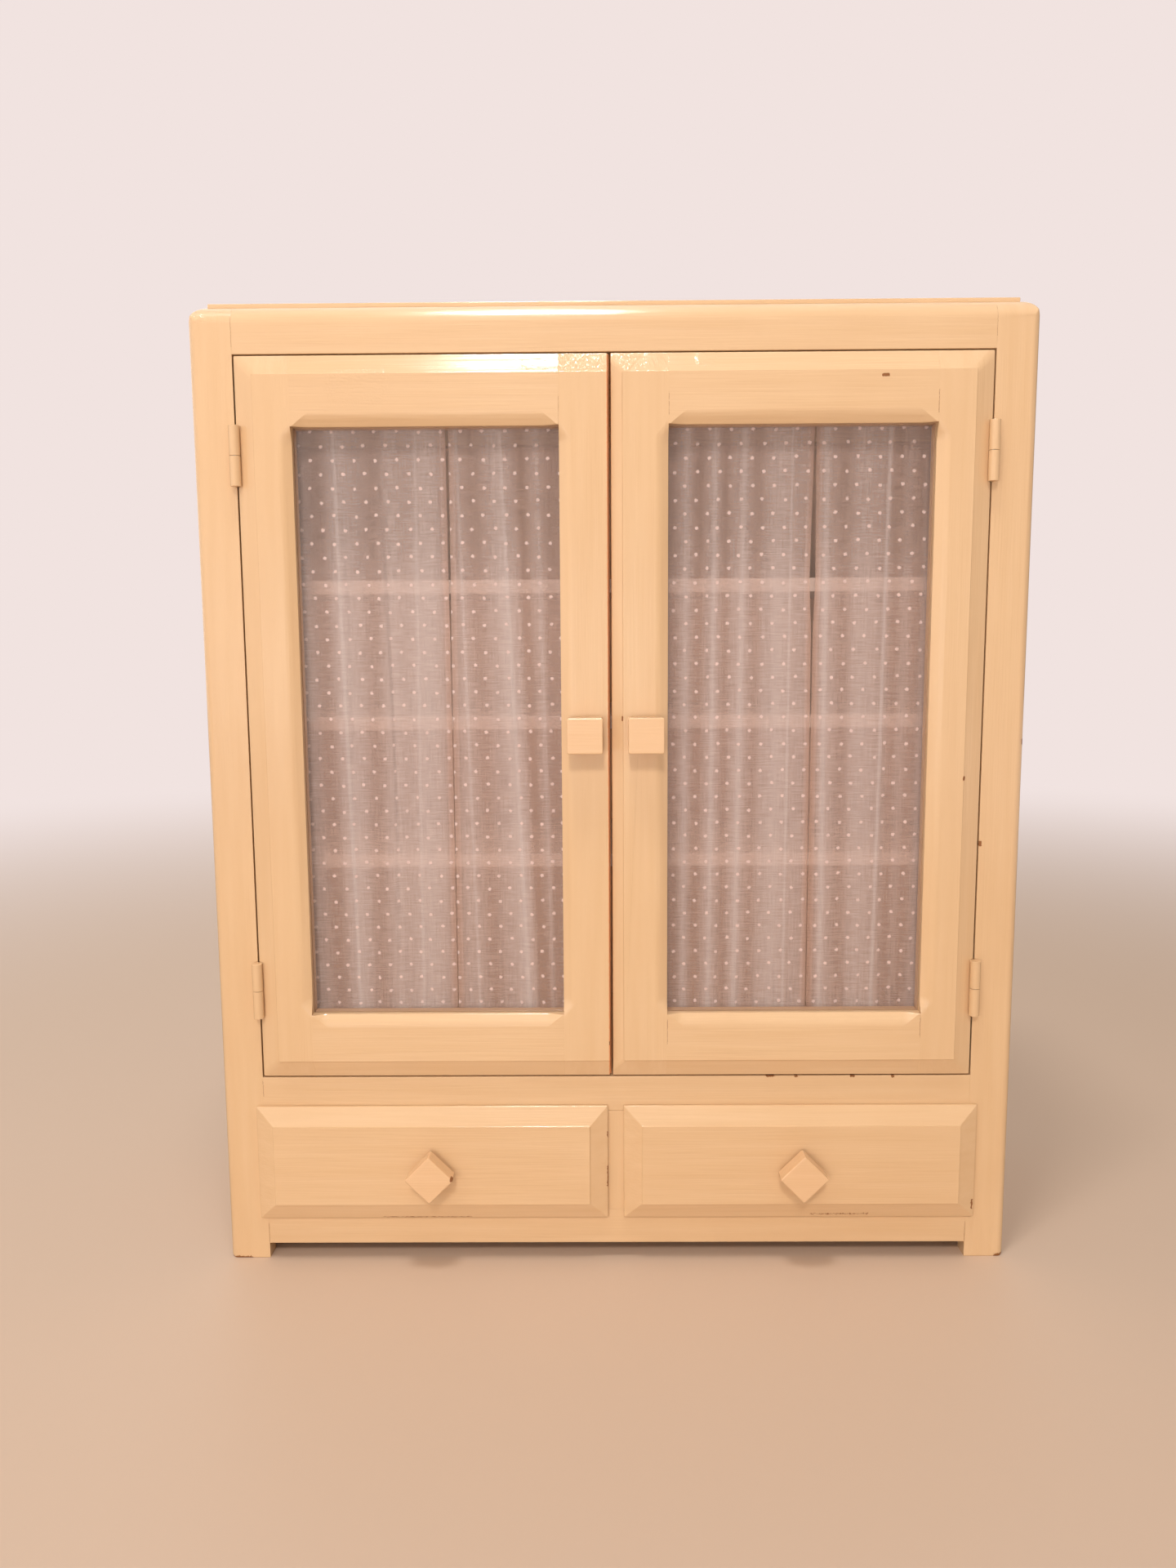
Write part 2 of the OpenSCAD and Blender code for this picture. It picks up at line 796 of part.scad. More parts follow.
module door_meeting_stile(side) {
    edge_x = meeting_edge_x(side);
    color(enamel) on_side(side)
        difference() {
            union() {
                door_member(side, [edge_x - cut, glass_x0(side)], door_z_span);
                if (side == left) {
                    block([edge_x - lip_w, edge_x + cut], [lip_in, door_in],
                        [leaf_z0, leaf_z1]);
                }
            }
            if (side == right) {
                block([edge_x - cut, edge_x + lip_rebate_w], [lip_in, door_in + cut],
                    door_z_span);
            }
            rebate_cut(side);
            translate([glass_x0(side), field_y, glass_z0])
                mirror([1, 0, 0]) stopped_chamfer(glass_z1 - glass_z0);
            door_tenon(side, top_tenon_z);
            door_tenon(side, bottom_tenon_z);
            peg_hole(handle_x(side), field_y, handle_z);
        }
}

module door_top_rail(side) {
    color(enamel) on_side(side) {
        difference() {
            door_member(side, [glass_x0(side), glass_x1], [glass_z1, leaf_z1 + cut]);
            rebate_cut(side);
            translate([glass_x1, field_y, glass_z1])
                rotate([0, -90, 0]) stopped_chamfer(glass_x1 - glass_x0(side));
        }
        door_tenon(side, top_tenon_z);
    }
}

module door_bottom_rail(side) {
    color(enamel) on_side(side) {
        difference() {
            door_member(side, [glass_x0(side), glass_x1], [leaf_z0 - cut, glass_z0]);
            rebate_cut(side);
            translate([glass_x0(side), field_y, glass_z0])
                rotate([0, 90, 0]) stopped_chamfer(glass_x1 - glass_x0(side));
        }
        door_tenon(side, bottom_tenon_z);
    }
}

module door_glass(side) {
    edge = glass_rebate - glass_fit;
    color(glass_tint) on_side(side)
        block([glass_x0(side) - edge, glass_x1 + edge], [glass_in, glass_in + glass_t],
            [glass_z0 - edge, glass_z1 + edge]);
}

// Four beads: the upright ones run through, the level ones are cut to fit between them
module door_glazing_beads(side) {
    x0 = glass_x0(side);
    y = [glass_in + glass_t, glass_in + glass_t + bead_d];
    z = [glass_z0 - glass_rebate, glass_z1 + glass_rebate];
    color(enamel) on_side(side) {
        block([x0 - glass_rebate, x0], y, z);
        block([glass_x1, glass_x1 + glass_rebate], y, z);
        block([x0 + bead_fit, glass_x1 - bead_fit], y, [glass_z1, z[1]]);
        block([x0 + bead_fit, glass_x1 - bead_fit], y, [z[0], glass_z0]);
    }
}

// Square with rounded corners, about the origin
module soft_square(w, h) {
    difference() {
        square([w, h], center = true);
        for (a = [0, 1], b = [0, 1]) {
            mirror([a, 0]) mirror([0, b])
                translate([w / 2, h / 2]) corner_waste(block_r);
        }
    }
}

// Block, neck and peg of a handle, pointing forward from a surface at y = 0
module handle_form() {
    front = -neck_l - block_t;
    intersection() {
        through_depth([front, -neck_l]) soft_square(block_w, block_w);
        translate([0, -neck_l - block_t / 2, 0]) {
            linear_extrude(block_w + cut, center = true) soft_square(block_w + cut, block_t);
            rotate([90, 0, 90])
                linear_extrude(block_w + cut, center = true) soft_square(block_t, block_w + cut);
        }
    }
    rotate([90, 0, 0]) cylinder(r = neck_r, h = neck_l + cut);
    translate([0, -cut, 0])
        rotate([-90, 0, 0]) cylinder(r = peg_r, h = peg_l + cut);
}

module door_handle(side) {
    color(handle_enamel) on_side(side)
        translate([handle_x(side), field_y, handle_z]) handle_form();
}

module drawer_knob(side) {
    color(handle_enamel) on_side(side)
        translate([knob_x, drawer_field_y, knob_z])
            rotate([0, knob_turn, 0]) handle_form();
}

module curtain_rods(side) {
    x0 = glass_x0(side) - eye_margin - rod_end;
    x1 = glass_x1 + eye_margin + rod_end;
    color(brass) on_side(side)
        for (z = rod_zs) {
            translate([x0, rod_y, z])
                rotate([0, 90, 0]) cylinder(r = rod_r, h = x1 - x0);
        }
}

// Screw eye: wire ring round the rod, shank and collar against the back of the door
module rod_eye() {
    rotate([0, 90, 0])
        rotate_extrude() translate([eye_r, 0]) circle(wire_r, $fn = 24);
    translate([0, -rod_back, 0])
        rotate([-90, 0, 0]) cylinder(r = wire_r, h = rod_back - eye_r, $fn = 24);
    translate([0, -rod_back, 0])
        rotate([-90, 0, 0]) cylinder(r = collar_r, h = wire_r, $fn = 32);
}

module rod_eyes(side) {
    color(brass) on_side(side)
        for (x = [glass_x0(side) - eye_margin, glass_x1 + eye_margin], z = rod_zs) {
            translate([x, rod_y, z]) rod_eye();
        }
}

function smooth(t) = let (c = min(1, max(0, t))) c * c * (3 - 2 * c);

// Folds are pressed flat at the casings and open between them
function fold_depth(z) = fold_rise * (0.1 + 0.9 * smooth((rod_zs[1] - z) / gather_h)
    * smooth((z - rod_zs[0]) / gather_h));

// Depth of the cloth at one point: a main fold and a finer one, both wandering with height
function fold_y(x, z, turn) = fold_depth(z) * (
    0.68 * sin(360 * x / fold_pitch + turn + 35 * sin(z / 2 + turn))
    + 0.32 * sin(610 * x / fold_pitch + 2 * turn + 50 * sin(z / 3)));

// Hanging panel between x[0] and x[1]: a folded sheet with a casing on each rod
module curtain_panel(x, turn) {
    rows = fold_rows + 1;
    layer = (fold_columns + 1) * rows;
    reach = (casing_r0 + casing_r1) / 2;
    z0 = rod_zs[0] + reach;
    z1 = rod_zs[1] - reach;
    points = [for (face = [-1, 1], i = [0:fold_columns], k = [0:fold_rows])
        let (px = x[0] + (x[1] - x[0]) * i / fold_columns,
            pz = z0 + (z1 - z0) * k / fold_rows)
        [px, rod_y + fold_y(px, pz, turn) + face * cloth_t / 2, pz]];
    sheet = [for (i = [0:fold_columns - 1], k = [0:fold_rows - 1])
        let (a = i * rows + k, b = a + rows, c = b + 1, d = a + 1)
        each [[a, c, b], [a, d, c], [layer + a, layer + b, layer + c],
            [layer + a, layer + c, layer + d]]];
    level_rims = [for (i = [0:fold_columns - 1])
        let (a = i * rows, b = a + rows, c = a + fold_rows, d = b + fold_rows)
        each [[a, b, layer + b], [a, layer + b, layer + a],
            [c, layer + d, d], [c, layer + c, layer + d]]];
    upright_rims = [for (k = [0:fold_rows - 1])
        let (a = k, b = k + 1, c = fold_columns * rows + k, d = c + 1)
        each [[a, layer + b, b], [a, layer + a, layer + b],
            [c, d, layer + d], [c, layer + d, layer + c]]];
    polyhedron(points, concat(sheet, level_rims, upright_rims), convexity = 6);
    for (z = rod_zs) {
        translate([x[0], rod_y, z])
            rotate([0, 90, 0])
                difference() {
                    cylinder(r = casing_r1, h = x[1] - x[0], $fn = 32);
                    translate([0, 0, -cut])
                        cylinder(r = casing_r0, h = x[1] - x[0] + 2 * cut, $fn = 32);
                }
    }
}

module curtain(side) {
    split = side == left ? left_split : right_split;
    color(cloth) on_side(side) {
        curtain_panel([glass_x0(side) - curtain_past, split - split_gap / 2], 40 + 70 * side);
        curtain_panel([split + split_gap / 2, glass_x1 + curtain_past], 200 - 45 * side);
    }
}

module catch_plate(side) {
    reach = catch_l / 2 - plate_rim;
    color(steel) on_side(side)
        block([catch_x - reach, catch_x + reach], [door_in, door_in + plate_t],
            [door_z0 + plate_rim, door_z0 + catch_h - plate_rim]);
}

module catch_housings() {
    color(catch_brown) on_both_sides()
        block([catch_x - catch_l / 2, catch_x + catch_l / 2], [catch_y, catch_y + catch_d],
            [door_z0, door_z0 + catch_h]);
}

// Side view of the dovetails on the front end of a drawer side, drawn in y and z
module tail_outline() {
    pitch = (box_z1 - box_z0) / tail_count;
    root = tail_w / 2;
    tip = root + tail_l * tail_flare;
    y1 = drawer_front_in;
    y0 = y1 - tail_l;
    for (i = [0:tail_count - 1]) {
        translate([0, box_z0 + (i + 0.5) * pitch])
            polygon([[y1 + cut, -root], [y1, -root], [y0, -tip],
                [y0, tip], [y1, root], [y1 + cut, root]]);
    }
}

// The faces of the two drawer sides, inner and outer, at the muntin and at the stile
side_faces = [[box_x0, box_x0 + drawer_side_t], [box_x1 - drawer_side_t, box_x1]];
groove_x = [side_faces[0][1] - groove_d, side_faces[1][0] + groove_d];
back_x = [side_faces[0][1] - back_housing_d, side_faces[1][0] + back_housing_d];

// Lipped front: raised panel over a core that fills the opening, with half-blind sockets
module drawer_front(side) {
    color(enamel) on_side(side)
        difference() {
            union() {
                bevelled_panel(front_x, front_z, -lip_clear, drawer_field_y, bevel_w, bevel_w);
                block([box_x0, box_x1], [-lip_clear - cut, drawer_front_in],
                    [box_z0, box_z1]);
            }
            for (x = side_faces) {
                across(x) tail_outline();
            }
            block([groove_x[0], groove_x[1]],
                [drawer_front_in - groove_d, drawer_front_in + cut], bottom_z);
            peg_hole(knob_x, drawer_field_y, knob_z);
        }
}

module drawer_sides(side) {
    color(bare_wood) on_side(side)
        difference() {
            for (x = side_faces) {
                across(x)
                    union() {
                        tail_outline();
                        translate([drawer_front_in, box_z0])
                            square([drawer_l - drawer_front_in, box_z1 - box_z0]);
                    }
            }
            block(groove_x, [0, drawer_l + cut], bottom_z);
            block(back_x, drawer_back_y, [bottom_z[1], box_z1 + cut]);
        }
}

module drawer_back(side) {
    color(bare_wood) on_side(side)
        block(back_x, drawer_back_y, [bottom_z[1], box_z1 - drawer_back_drop]);
}

module drawer_bottom(side) {
    color(plywood) on_side(side)
        block(groove_x, [drawer_front_in - groove_d, drawer_back_y[1]], bottom_z);
}

side_board(left);  // left_side_board
side_board(right);  // right_side_board
top_board();
top_cap();
cupboard_floor();
base_board();
back_panel();
hanging_rail();
face_stile(left);  // left_face_stile
face_stile(right);  // right_face_stile
top_face_rail();
middle_face_rail();
bottom_face_rail();
drawer_muntin();
drawer_divider();
drawer_guides();
drawer_kickers();
upper_shelf();
middle_shelf();
lower_shelf();
shelf_cleats();
frame_hinge_leaves();
hinge_pins();
catch_housings();
door_hinge_stile(left);  // left_hinge_stile
door_meeting_stile(left);  // left_meeting_stile
door_top_rail(left);  // left_door_top_rail
door_bottom_rail(left);  // left_door_bottom_rail
door_glass(left);  // left_glass
door_glazing_beads(left);  // left_glazing_beads
door_hinge_leaves(left);  // left_hinge_leaves
door_handle(left);  // left_handle
curtain(left);  // left_curtain
curtain_rods(left);  // left_curtain_rods
rod_eyes(left);  // left_rod_eyes
catch_plate(left);  // left_catch_plate
door_hinge_stile(right);  // right_hinge_stile
door_meeting_stile(right);  // right_meeting_stile
door_top_rail(right);  // right_door_top_rail
door_bottom_rail(right);  // right_door_bottom_rail
door_glass(right);  // right_glass
door_glazing_beads(right);  // right_glazing_beads
door_hinge_leaves(right);  // right_hinge_leaves
door_handle(right);  // right_handle
curtain(right);  // right_curtain
curtain_rods(right);  // right_curtain_rods
rod_eyes(right);  // right_rod_eyes
catch_plate(right);  // right_catch_plate
drawer_front(left);  // left_drawer_front
drawer_sides(left);  // left_drawer_sides
drawer_back(left);  // left_drawer_back
drawer_bottom(left);  // left_drawer_bottom
drawer_knob(left);  // left_drawer_knob
drawer_front(right);  // right_drawer_front
drawer_sides(right);  // right_drawer_sides
drawer_back(right);  // right_drawer_back
drawer_bottom(right);  // right_drawer_bottom
drawer_knob(right);  // right_drawer_knob
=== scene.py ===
import json
import math
import bmesh
import bpy
import numpy as np
from mathutils import Matrix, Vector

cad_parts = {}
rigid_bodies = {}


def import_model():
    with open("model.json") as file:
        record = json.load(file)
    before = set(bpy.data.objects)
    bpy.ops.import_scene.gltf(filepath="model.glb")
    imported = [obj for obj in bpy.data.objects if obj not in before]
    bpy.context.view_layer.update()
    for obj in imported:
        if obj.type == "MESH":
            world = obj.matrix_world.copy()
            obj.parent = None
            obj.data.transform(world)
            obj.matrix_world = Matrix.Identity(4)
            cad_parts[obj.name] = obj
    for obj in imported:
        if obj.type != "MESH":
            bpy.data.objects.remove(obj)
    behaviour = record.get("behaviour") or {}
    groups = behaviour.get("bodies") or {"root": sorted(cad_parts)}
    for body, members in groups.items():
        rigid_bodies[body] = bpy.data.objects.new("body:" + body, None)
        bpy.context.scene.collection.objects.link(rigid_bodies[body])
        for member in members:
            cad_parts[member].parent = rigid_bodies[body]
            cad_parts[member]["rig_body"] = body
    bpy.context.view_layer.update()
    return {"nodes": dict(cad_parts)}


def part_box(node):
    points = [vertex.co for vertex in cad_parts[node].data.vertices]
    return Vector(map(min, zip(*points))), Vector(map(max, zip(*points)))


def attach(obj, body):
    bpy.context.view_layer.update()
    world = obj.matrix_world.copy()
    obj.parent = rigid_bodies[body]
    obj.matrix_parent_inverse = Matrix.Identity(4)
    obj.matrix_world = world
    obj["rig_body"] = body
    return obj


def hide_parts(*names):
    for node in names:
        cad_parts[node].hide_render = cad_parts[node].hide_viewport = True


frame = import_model()
mm = 0.001
frontY = -108.65  # the face frame's front plane in the part's frame, in mm

# What a user would change to frame the view: lengths in mm, but the clip distances in metres
view = {"lens": 26.70, "place": (-15.1, -1100.2, 558.8), "pitchDown": 7.2745,
        "turnLeft": 0.4519, "roll": -0.3611, "filmWidth": 36, "nearest": 0.05, "farthest": 60}
# The floor and the backdrop, in metres
studio = {"floorColour": "#CCB6A2", "floorRoughness": 0.55, "floorSize": 14.0,
          "backdropColour": "#F1E3E0", "fadeFrom": 0.9, "fadeTo": 3.6,
          "worldColour": "#FFF1E4", "worldLight": 0.45,
          # The room that gloss mirrors: its brightness ahead, and how it falls to the right
          # and rises towards the ceiling
          "mirrorAhead": 1.3, "mirrorRight": -1.7, "mirrorUp": 0.6, "mirrorLeast": 0.4,
          "mirrorMost": 1.8, "mirrorColour": "#FFF5EE"}
# In metres. A lightOnly lamp isn't mirrored in gloss, and a glintsOnly lamp is only mirrored
lamps = [
    {"name": "frontLamp", "place": (-0.5, -6.2, 5.2), "aim": (0, -0.1, 0.45),
     "size": (0.85, 1.0), "watts": 214, "colour": "#FFF3EC", "shows": "lightOnly"},
    {"name": "ceilingLamp", "place": (-0.16, -0.68, 2.6), "aim": (0, -0.2, 0.4),
     "size": (0.34, 0.34), "watts": 17, "colour": "#FFF8F2", "shows": "lightOnly"},
    {"name": "ceilingGlint", "place": (-0.16, -0.68, 2.6), "aim": (0, -0.2, 0.5),
     "size": (0.34, 0.34), "watts": 60, "colour": "#FFFAF5", "shows": "glintsOnly"},
    {"name": "sideLamp", "place": (-1.9, -2.3, 1.9), "aim": (0, -0.1, 0.45),
     "size": (0.35, 0.35), "watts": 6, "colour": "#FFF3EA", "shows": "lightOnly"},
    {"name": "lowFill", "place": (-0.6, -2.5, 0.45), "aim": (0, -0.1, 0.2),
     "size": (1.6, 0.7), "watts": 21, "colour": "#FFF3EC", "shows": "lightOnly"},
]


def hexColour(text):
    # sRGB hex to linear: c / 12.92 below 0.04045, else ((c + 0.055) / 1.055) ^ 2.4
    value = np.array([int(text[i:i + 2], 16) / 255 for i in (1, 3, 5)])
    linear = np.where(value <= 0.04045, value / 12.92, ((value + 0.055) / 1.055) ** 2.4)
    return (*linear.tolist(), 1.0)


def addObject(name, data):
    made = bpy.data.objects.new(name, data)
    bpy.context.scene.collection.objects.link(made)
    return made


def put(tree, kind, settings=None, inputs=None):
    # Adds a node. An input given as a socket is linked, and any other value is set on it
    made = tree.nodes.new("ShaderNode" + kind)
    for name, value in (settings or {}).items():
        setattr(made, name, value)
    for name, value in (inputs or {}).items():
        if isinstance(value, bpy.types.NodeSocket):
            tree.links.new(value, made.inputs[name])
        else:
            made.inputs[name].default_value = value
    return made


def maths(tree, operation, *values):
    return put(tree, "Math", {"operation": operation}, dict(enumerate(values))).outputs[0]


def vectors(tree, operation, *values):
    made = put(tree, "VectorMath", {"operation": operation}, dict(enumerate(values)))
    return made.outputs["Value" if operation in ("LENGTH", "DOT_PRODUCT") else "Vector"]


def ranged(tree, value, low, high, toLow=0.0, toHigh=1.0):
    return put(tree, "MapRange", inputs={0: value, 1: low, 2: high,
                                         3: toLow, 4: toHigh}).outputs[0]


def eased(tree, value, low, high):
    # 0 at low and 1 at high, with a soft start and end
    return put(tree, "MapRange", {"interpolation_type": "SMOOTHSTEP"},
               {0: value, 1: low, 2: high}).outputs[0]


def noise(tree, place, scale, detail, twist=0.0):
    return put(tree, "TexNoise", inputs={"Vector": place, "Scale": scale, "Detail": detail,
                                         "Distortion": twist}).outputs


def grain(tree, place, axis, gap, length, detail, twist=0.0):
    # Noise drawn out along an axis: marks are gap mm apart and length mm long
    sizes = [gap] * 3
    sizes[axis] = length
    scaled = put(tree, "Mapping", inputs={
        "Vector": place, "Scale": [1 / (size * mm) for size in sizes]}).outputs[0]
    return noise(tree, scaled, 1.0, detail, twist)["Fac"]


def mixed(tree, share, first, second):
    # Each colour is a socket or hex text
    ends = [hexColour(end) if isinstance(end, str) else end for end in (first, second)]
    return put(tree, "Mix", {"data_type": "RGBA"}, {0: share, 6: ends[0], 7: ends[1]}).outputs[2]


def bumped(tree, height, distance, strength=1.0, normal=None, inward=False):
    inputs = {"Height": height, "Strength": strength, "Distance": distance * mm}
    if normal is not None:
        inputs["Normal"] = normal
    return put(tree, "Bump", {"invert": inward}, inputs).outputs[0]


def mixedShaders(tree, share, first, second):
    return put(tree, "MixShader", inputs={0: share, 1: first, 2: second}).outputs[0]


def startMaterial(name):
    made = bpy.data.materials.new(name)
    made.use_nodes = True
    made.node_tree.nodes.clear()
    return made, made.node_tree


def finishMaterial(tree, shader):
    out = put(tree, "OutputMaterial")
    tree.links.new(shader, out.inputs["Surface"])


def makeCamera():
    lens = bpy.data.cameras.new("photoCamera")
    lens.lens, lens.sensor_width = view["lens"], view["filmWidth"]
    lens.clip_start, lens.clip_end = view["nearest"], view["farthest"]
    camera = addObject("photoCamera", lens)
    turn = (Matrix.Rotation(math.radians(view["turnLeft"]), 4, "Z")
            @ Matrix.Rotation(math.radians(90 - view["pitchDown"]), 4, "X")
            @ Matrix.Rotation(math.radians(view["roll"]), 4, "Z"))
    camera.matrix_world = Matrix.Translation([p * mm for p in view["place"]]) @ turn
    bpy.context.scene.camera = camera


def makeFloor():
    # A pale floor whose own colour fades into the backdrop's, so that no horizon shows
    made, tree = startMaterial("paleStudioFloor")
    away = vectors(tree, "LENGTH", put(tree, "NewGeometry").outputs["Position"])
    fade = eased(tree, away, studio["fadeFrom"], studio["fadeTo"])
    floor = put(tree, "BsdfPrincipled", inputs={"Base Color": hexColour(studio["floorColour"]),
                                                "Roughness": studio["floorRoughness"]}).outputs[0]
    glow = put(tree, "Emission", inputs={"Color": hexColour(studio["backdropColour"])}).outputs[0]
    finishMaterial(tree, mixedShaders(tree, fade, floor, glow))
    half = studio["floorSize"] / 2
    mesh = bpy.data.meshes.new("studioFloor")
    mesh.from_pydata([(-half, -half, 0), (half, -half, 0), (half, half, 0), (-half, half, 0)],
                     [], [(0, 1, 2, 3)])
    mesh.materials.append(made)
    ground = addObject("studioFloor", mesh)


def makeWorld():
    # The world lights the object evenly, and shows as the pale backdrop to the camera and
    # through the glass. Gloss mirrors a plain room in its place
    world = bpy.data.worlds.new("studioWorld")
    bpy.context.scene.world = world
    world.use_nodes = True
    tree = world.node_tree
    tree.nodes.clear()
    rays = put(tree, "LightPath").outputs
    seen = maths(tree, "MAXIMUM", rays["Is Camera Ray"], rays["Is Transmission Ray"])
    light = put(tree, "Background", inputs={"Color": hexColour(studio["worldColour"]),
                                            "Strength": studio["worldLight"]}).outputs[0]
    backdrop = put(tree, "Background",
                   inputs={"Color": hexColour(studio["backdropColour"])}).outputs[0]
    # Mirrored room: ahead + right x + up max(z, 0), kept between the least and the most
    heading = put(tree, "SeparateXYZ", inputs={
        0: put(tree, "TexCoord").outputs["Generated"]}).outputs
    up = maths(tree, "MAXIMUM", heading[2], 0.0)
    bright = maths(tree, "MULTIPLY_ADD", heading[0], studio["mirrorRight"], studio["mirrorAhead"])
    bright = maths(tree, "MULTIPLY_ADD", up, studio["mirrorUp"], bright)
    bright = maths(tree, "MAXIMUM", bright, studio["mirrorLeast"])
    bright = maths(tree, "MINIMUM", bright, studio["mirrorMost"])
    room = put(tree, "Background", inputs={"Color": hexColour(studio["mirrorColour"]),
                                           "Strength": bright}).outputs[0]
    both = mixedShaders(tree, seen, light, backdrop)
    both = mixedShaders(tree, rays["Is Glossy Ray"], both, room)
    out = put(tree, "OutputWorld")
    tree.links.new(both, out.inputs["Surface"])


def makeLamps():
    for lamp in lamps:
        light = bpy.data.lights.new(lamp["name"], "AREA")
        light.shape = "RECTANGLE"
        light.size, light.size_y = lamp["size"]
        light.energy = lamp["watts"]
        light.color = hexColour(lamp["colour"])[:3]
        made = addObject(lamp["name"], light)
        made.visible_glossy = lamp["shows"] != "lightOnly"
        made.visible_diffuse = lamp["shows"] != "glintsOnly"
        start, aim = np.array(lamp["place"]), np.array(lamp["aim"])
        back = (start - aim) / np.linalg.norm(start - aim)
        side = np.cross((0, 0, 1), back)
        side /= np.linalg.norm(side)
        look = Matrix(np.stack([side, np.cross(back, side), back], axis=1).tolist()).to_4x4()
        made.matrix_world = Matrix.Translation(start.tolist()) @ look


makeCamera()
makeFloor()
makeWorld()
makeLamps()
bpy.context.scene.view_settings.view_transform = "Standard"
print("camera and studio are set")

# Oil enamel brushed on by hand. Its gloss flows along the bristle marks, it chips to the
# brown wood on arrises, and it cracks in fine dark lines over joints
# The lip's colour is lighter than the lip's bare wood: a painted light for the shade in the gap
# between the doors
enamel = {"colour": "#DABA92", "shade": "#D2AF85", "wood": "#8A5A33", "bareLipPaintedLight": "#DD9A68",
          "roughness": 0.21, "roughnessRange": 0.07, "bareRoughness": 0.75,
          "strokeTone": 0.45, "cloudTone": 0.6,   # shares of strokes and clouds in the shade
          "toneFrom": 0.15, "toneTo": 0.9, "cloudScale": 5.5,
          "bristleGap": 1.7,     # mm between bristle marks; real ones are near 0.7
          "strokeLength": 55.0,  # mm over which a mark keeps its line
          "strokeGap": 4.5, "strokeReach": 2.2,  # broad strokes, as multiples of those two
          "markHeight": 0.2, "strokeHeight": 1.6, "peelSize": 16.0, "peelHeight": 0.10,
          "across": 0.8,         # how much wider the gloss spreads across the bristle marks
          "lumpSize": 1.7, "lumpStretch": 3, "lumpHeight": 0.25, "chipDepth": 0.12,
          "crackStrength": 0.6, "crackFrom": 0.34, "crackTo": 0.5}

# Where the enamel is lost: centre and half size in mm in the part's frame, then how far
# the loss reaches past that box and how strongly it wanders
chips = [
    ((222, -115, 768), (2.2, 3, 0.4), 0.9, 0.7), ((6.6, -114, 488.7), (0.1, 4, 1.6), 0.5, 0.7),
    ((137, -108, 170.2), (3, 3, 0.1), 0.6, 1.6), ((160, -108, 169.9), (0.8, 3, 0.2), 0.6, 1.2),
    ((210, -108, 169.9), (1.4, 3, 0.2), 0.6, 1.4), ((245.5, -108, 169.7), (0.9, 3, 0.3), 0.7, 1.2),
    ((349, -103, 466.5), (0.6, 3, 1.6), 1.0, 0.8), ((315.2, -108, 378.5), (0.5, 3, 1.6), 0.8, 0.8),
    ((297, -114, 436.2), (0.4, 3, 1.2), 0.7, 0.8), ((347, -104, 0.5), (5, 6, 0.6), 1.4, 2.0),
    ((-340, -104, 0.3), (9, 6, 0.3), 1.0, 2.0), ((-143.4, -139, 89.4), (0.7, 2.5, 0.9), 0.9, 1.0),
    ((-6.9, -112, 79), (0.3, 2, 9), 0.7, 1.6), ((-6.9, -112, 118), (0.3, 2, 2), 0.7, 1.2),
    ((-4.6, -112, 204), (0.5, 5, 1.0), 0.8, 0.8), ((318, -112, 52), (0.4, 2, 4), 0.5, 1.6),
    ((-170, -112, 41), (40, 1, 0.02), 0.2, 2.0), ((200, -113, 43.5), (26, 5, 0.02), 0.3, 3.0),
]
# The bare brown wood of the lip between the doors, in a colour lighter than that wood: a painted
# light for the shade in the narrow gap
bareLipPaintedLight = [((-4.0, -112, 480), (0.9, 9, 307), 0.9, 0.6)]
# Where the enamel dried in lumps and sags, which glint
lumps = [((-344, -106, 812), (4, 4, 7), 3, 3), ((-30, -113, 783), (40, 4, 2.4), 5, 4),
         ((16, -113, 783), (7, 4, 3), 4, 3), ((76, -113, 784), (4, 4, 2), 4, 3),
         ((-210, -117, 762), (16, 3, 5), 7, 5)]
# Fine dark cracks where one member butts against another, in the same terms
cracks = [
    ((-314, -108, 812), (0.02, 8, 16), 0.16, 0.3), ((314, -108, 812), (0.02, 8, 12), 0.16, 0.3),
    ((-45.1, -117, 742), (0.04, 3, 11), 0.2, 0.4), ((45.4, -117, 747), (0.05, 6, 9), 0.26, 0.5),
    ((266, -117, 747), (0.05, 6, 9), 0.26, 0.5), ((45.4, -117, 214), (0.05, 6, 11), 0.26, 0.5),
    ((266, -117, 218), (0.05, 6, 10), 0.26, 0.5), ((-314, -108, 160), (0.05, 4, 7), 0.24, 0.5),
    ((-314, -108, 24), (0.05, 4, 9), 0.24, 0.5), ((314, -108, 24), (0.05, 4, 9), 0.24, 0.5),
]
# How softly each of them ends, and the scale of the noise that makes their outlines wander
softEnds = {"chips": 0.12, "cracks": 0.45, "bareLipPaintedLight": 0.5, "lumps": 0.6, "wanderScale": 560.0}


def lossMask(tree, place, marks, softness):
    # The least distance to any of the boxes: |max(|p - centre| - half, 0)| / reach, with p
    # pushed about by noise, turned to 1 inside and 0 outside
    wander = noise(tree, place, softEnds["wanderScale"], 3.0)["Color"]
    push = vectors(tree, "SUBTRACT", wander, (0.5, 0.5, 0.5))
    least = None
    for centre, half, reach, stray in marks:
        moved = vectors(tree, "MULTIPLY_ADD", push, (2 * stray * mm,) * 3, place)
        away = vectors(tree, "SUBTRACT", moved, [c * mm for c in centre])
        away = vectors(tree, "SUBTRACT", vectors(tree, "ABSOLUTE", away), [h * mm for h in half])
        away = vectors(tree, "LENGTH", vectors(tree, "MAXIMUM", away, (0, 0, 0)))
        away = maths(tree, "DIVIDE", away, reach * mm)
        least = maths(tree, "MINIMUM", least, away) if least is not None else away
    return eased(tree, least, 1.0 + softness, 1.0 - softness)


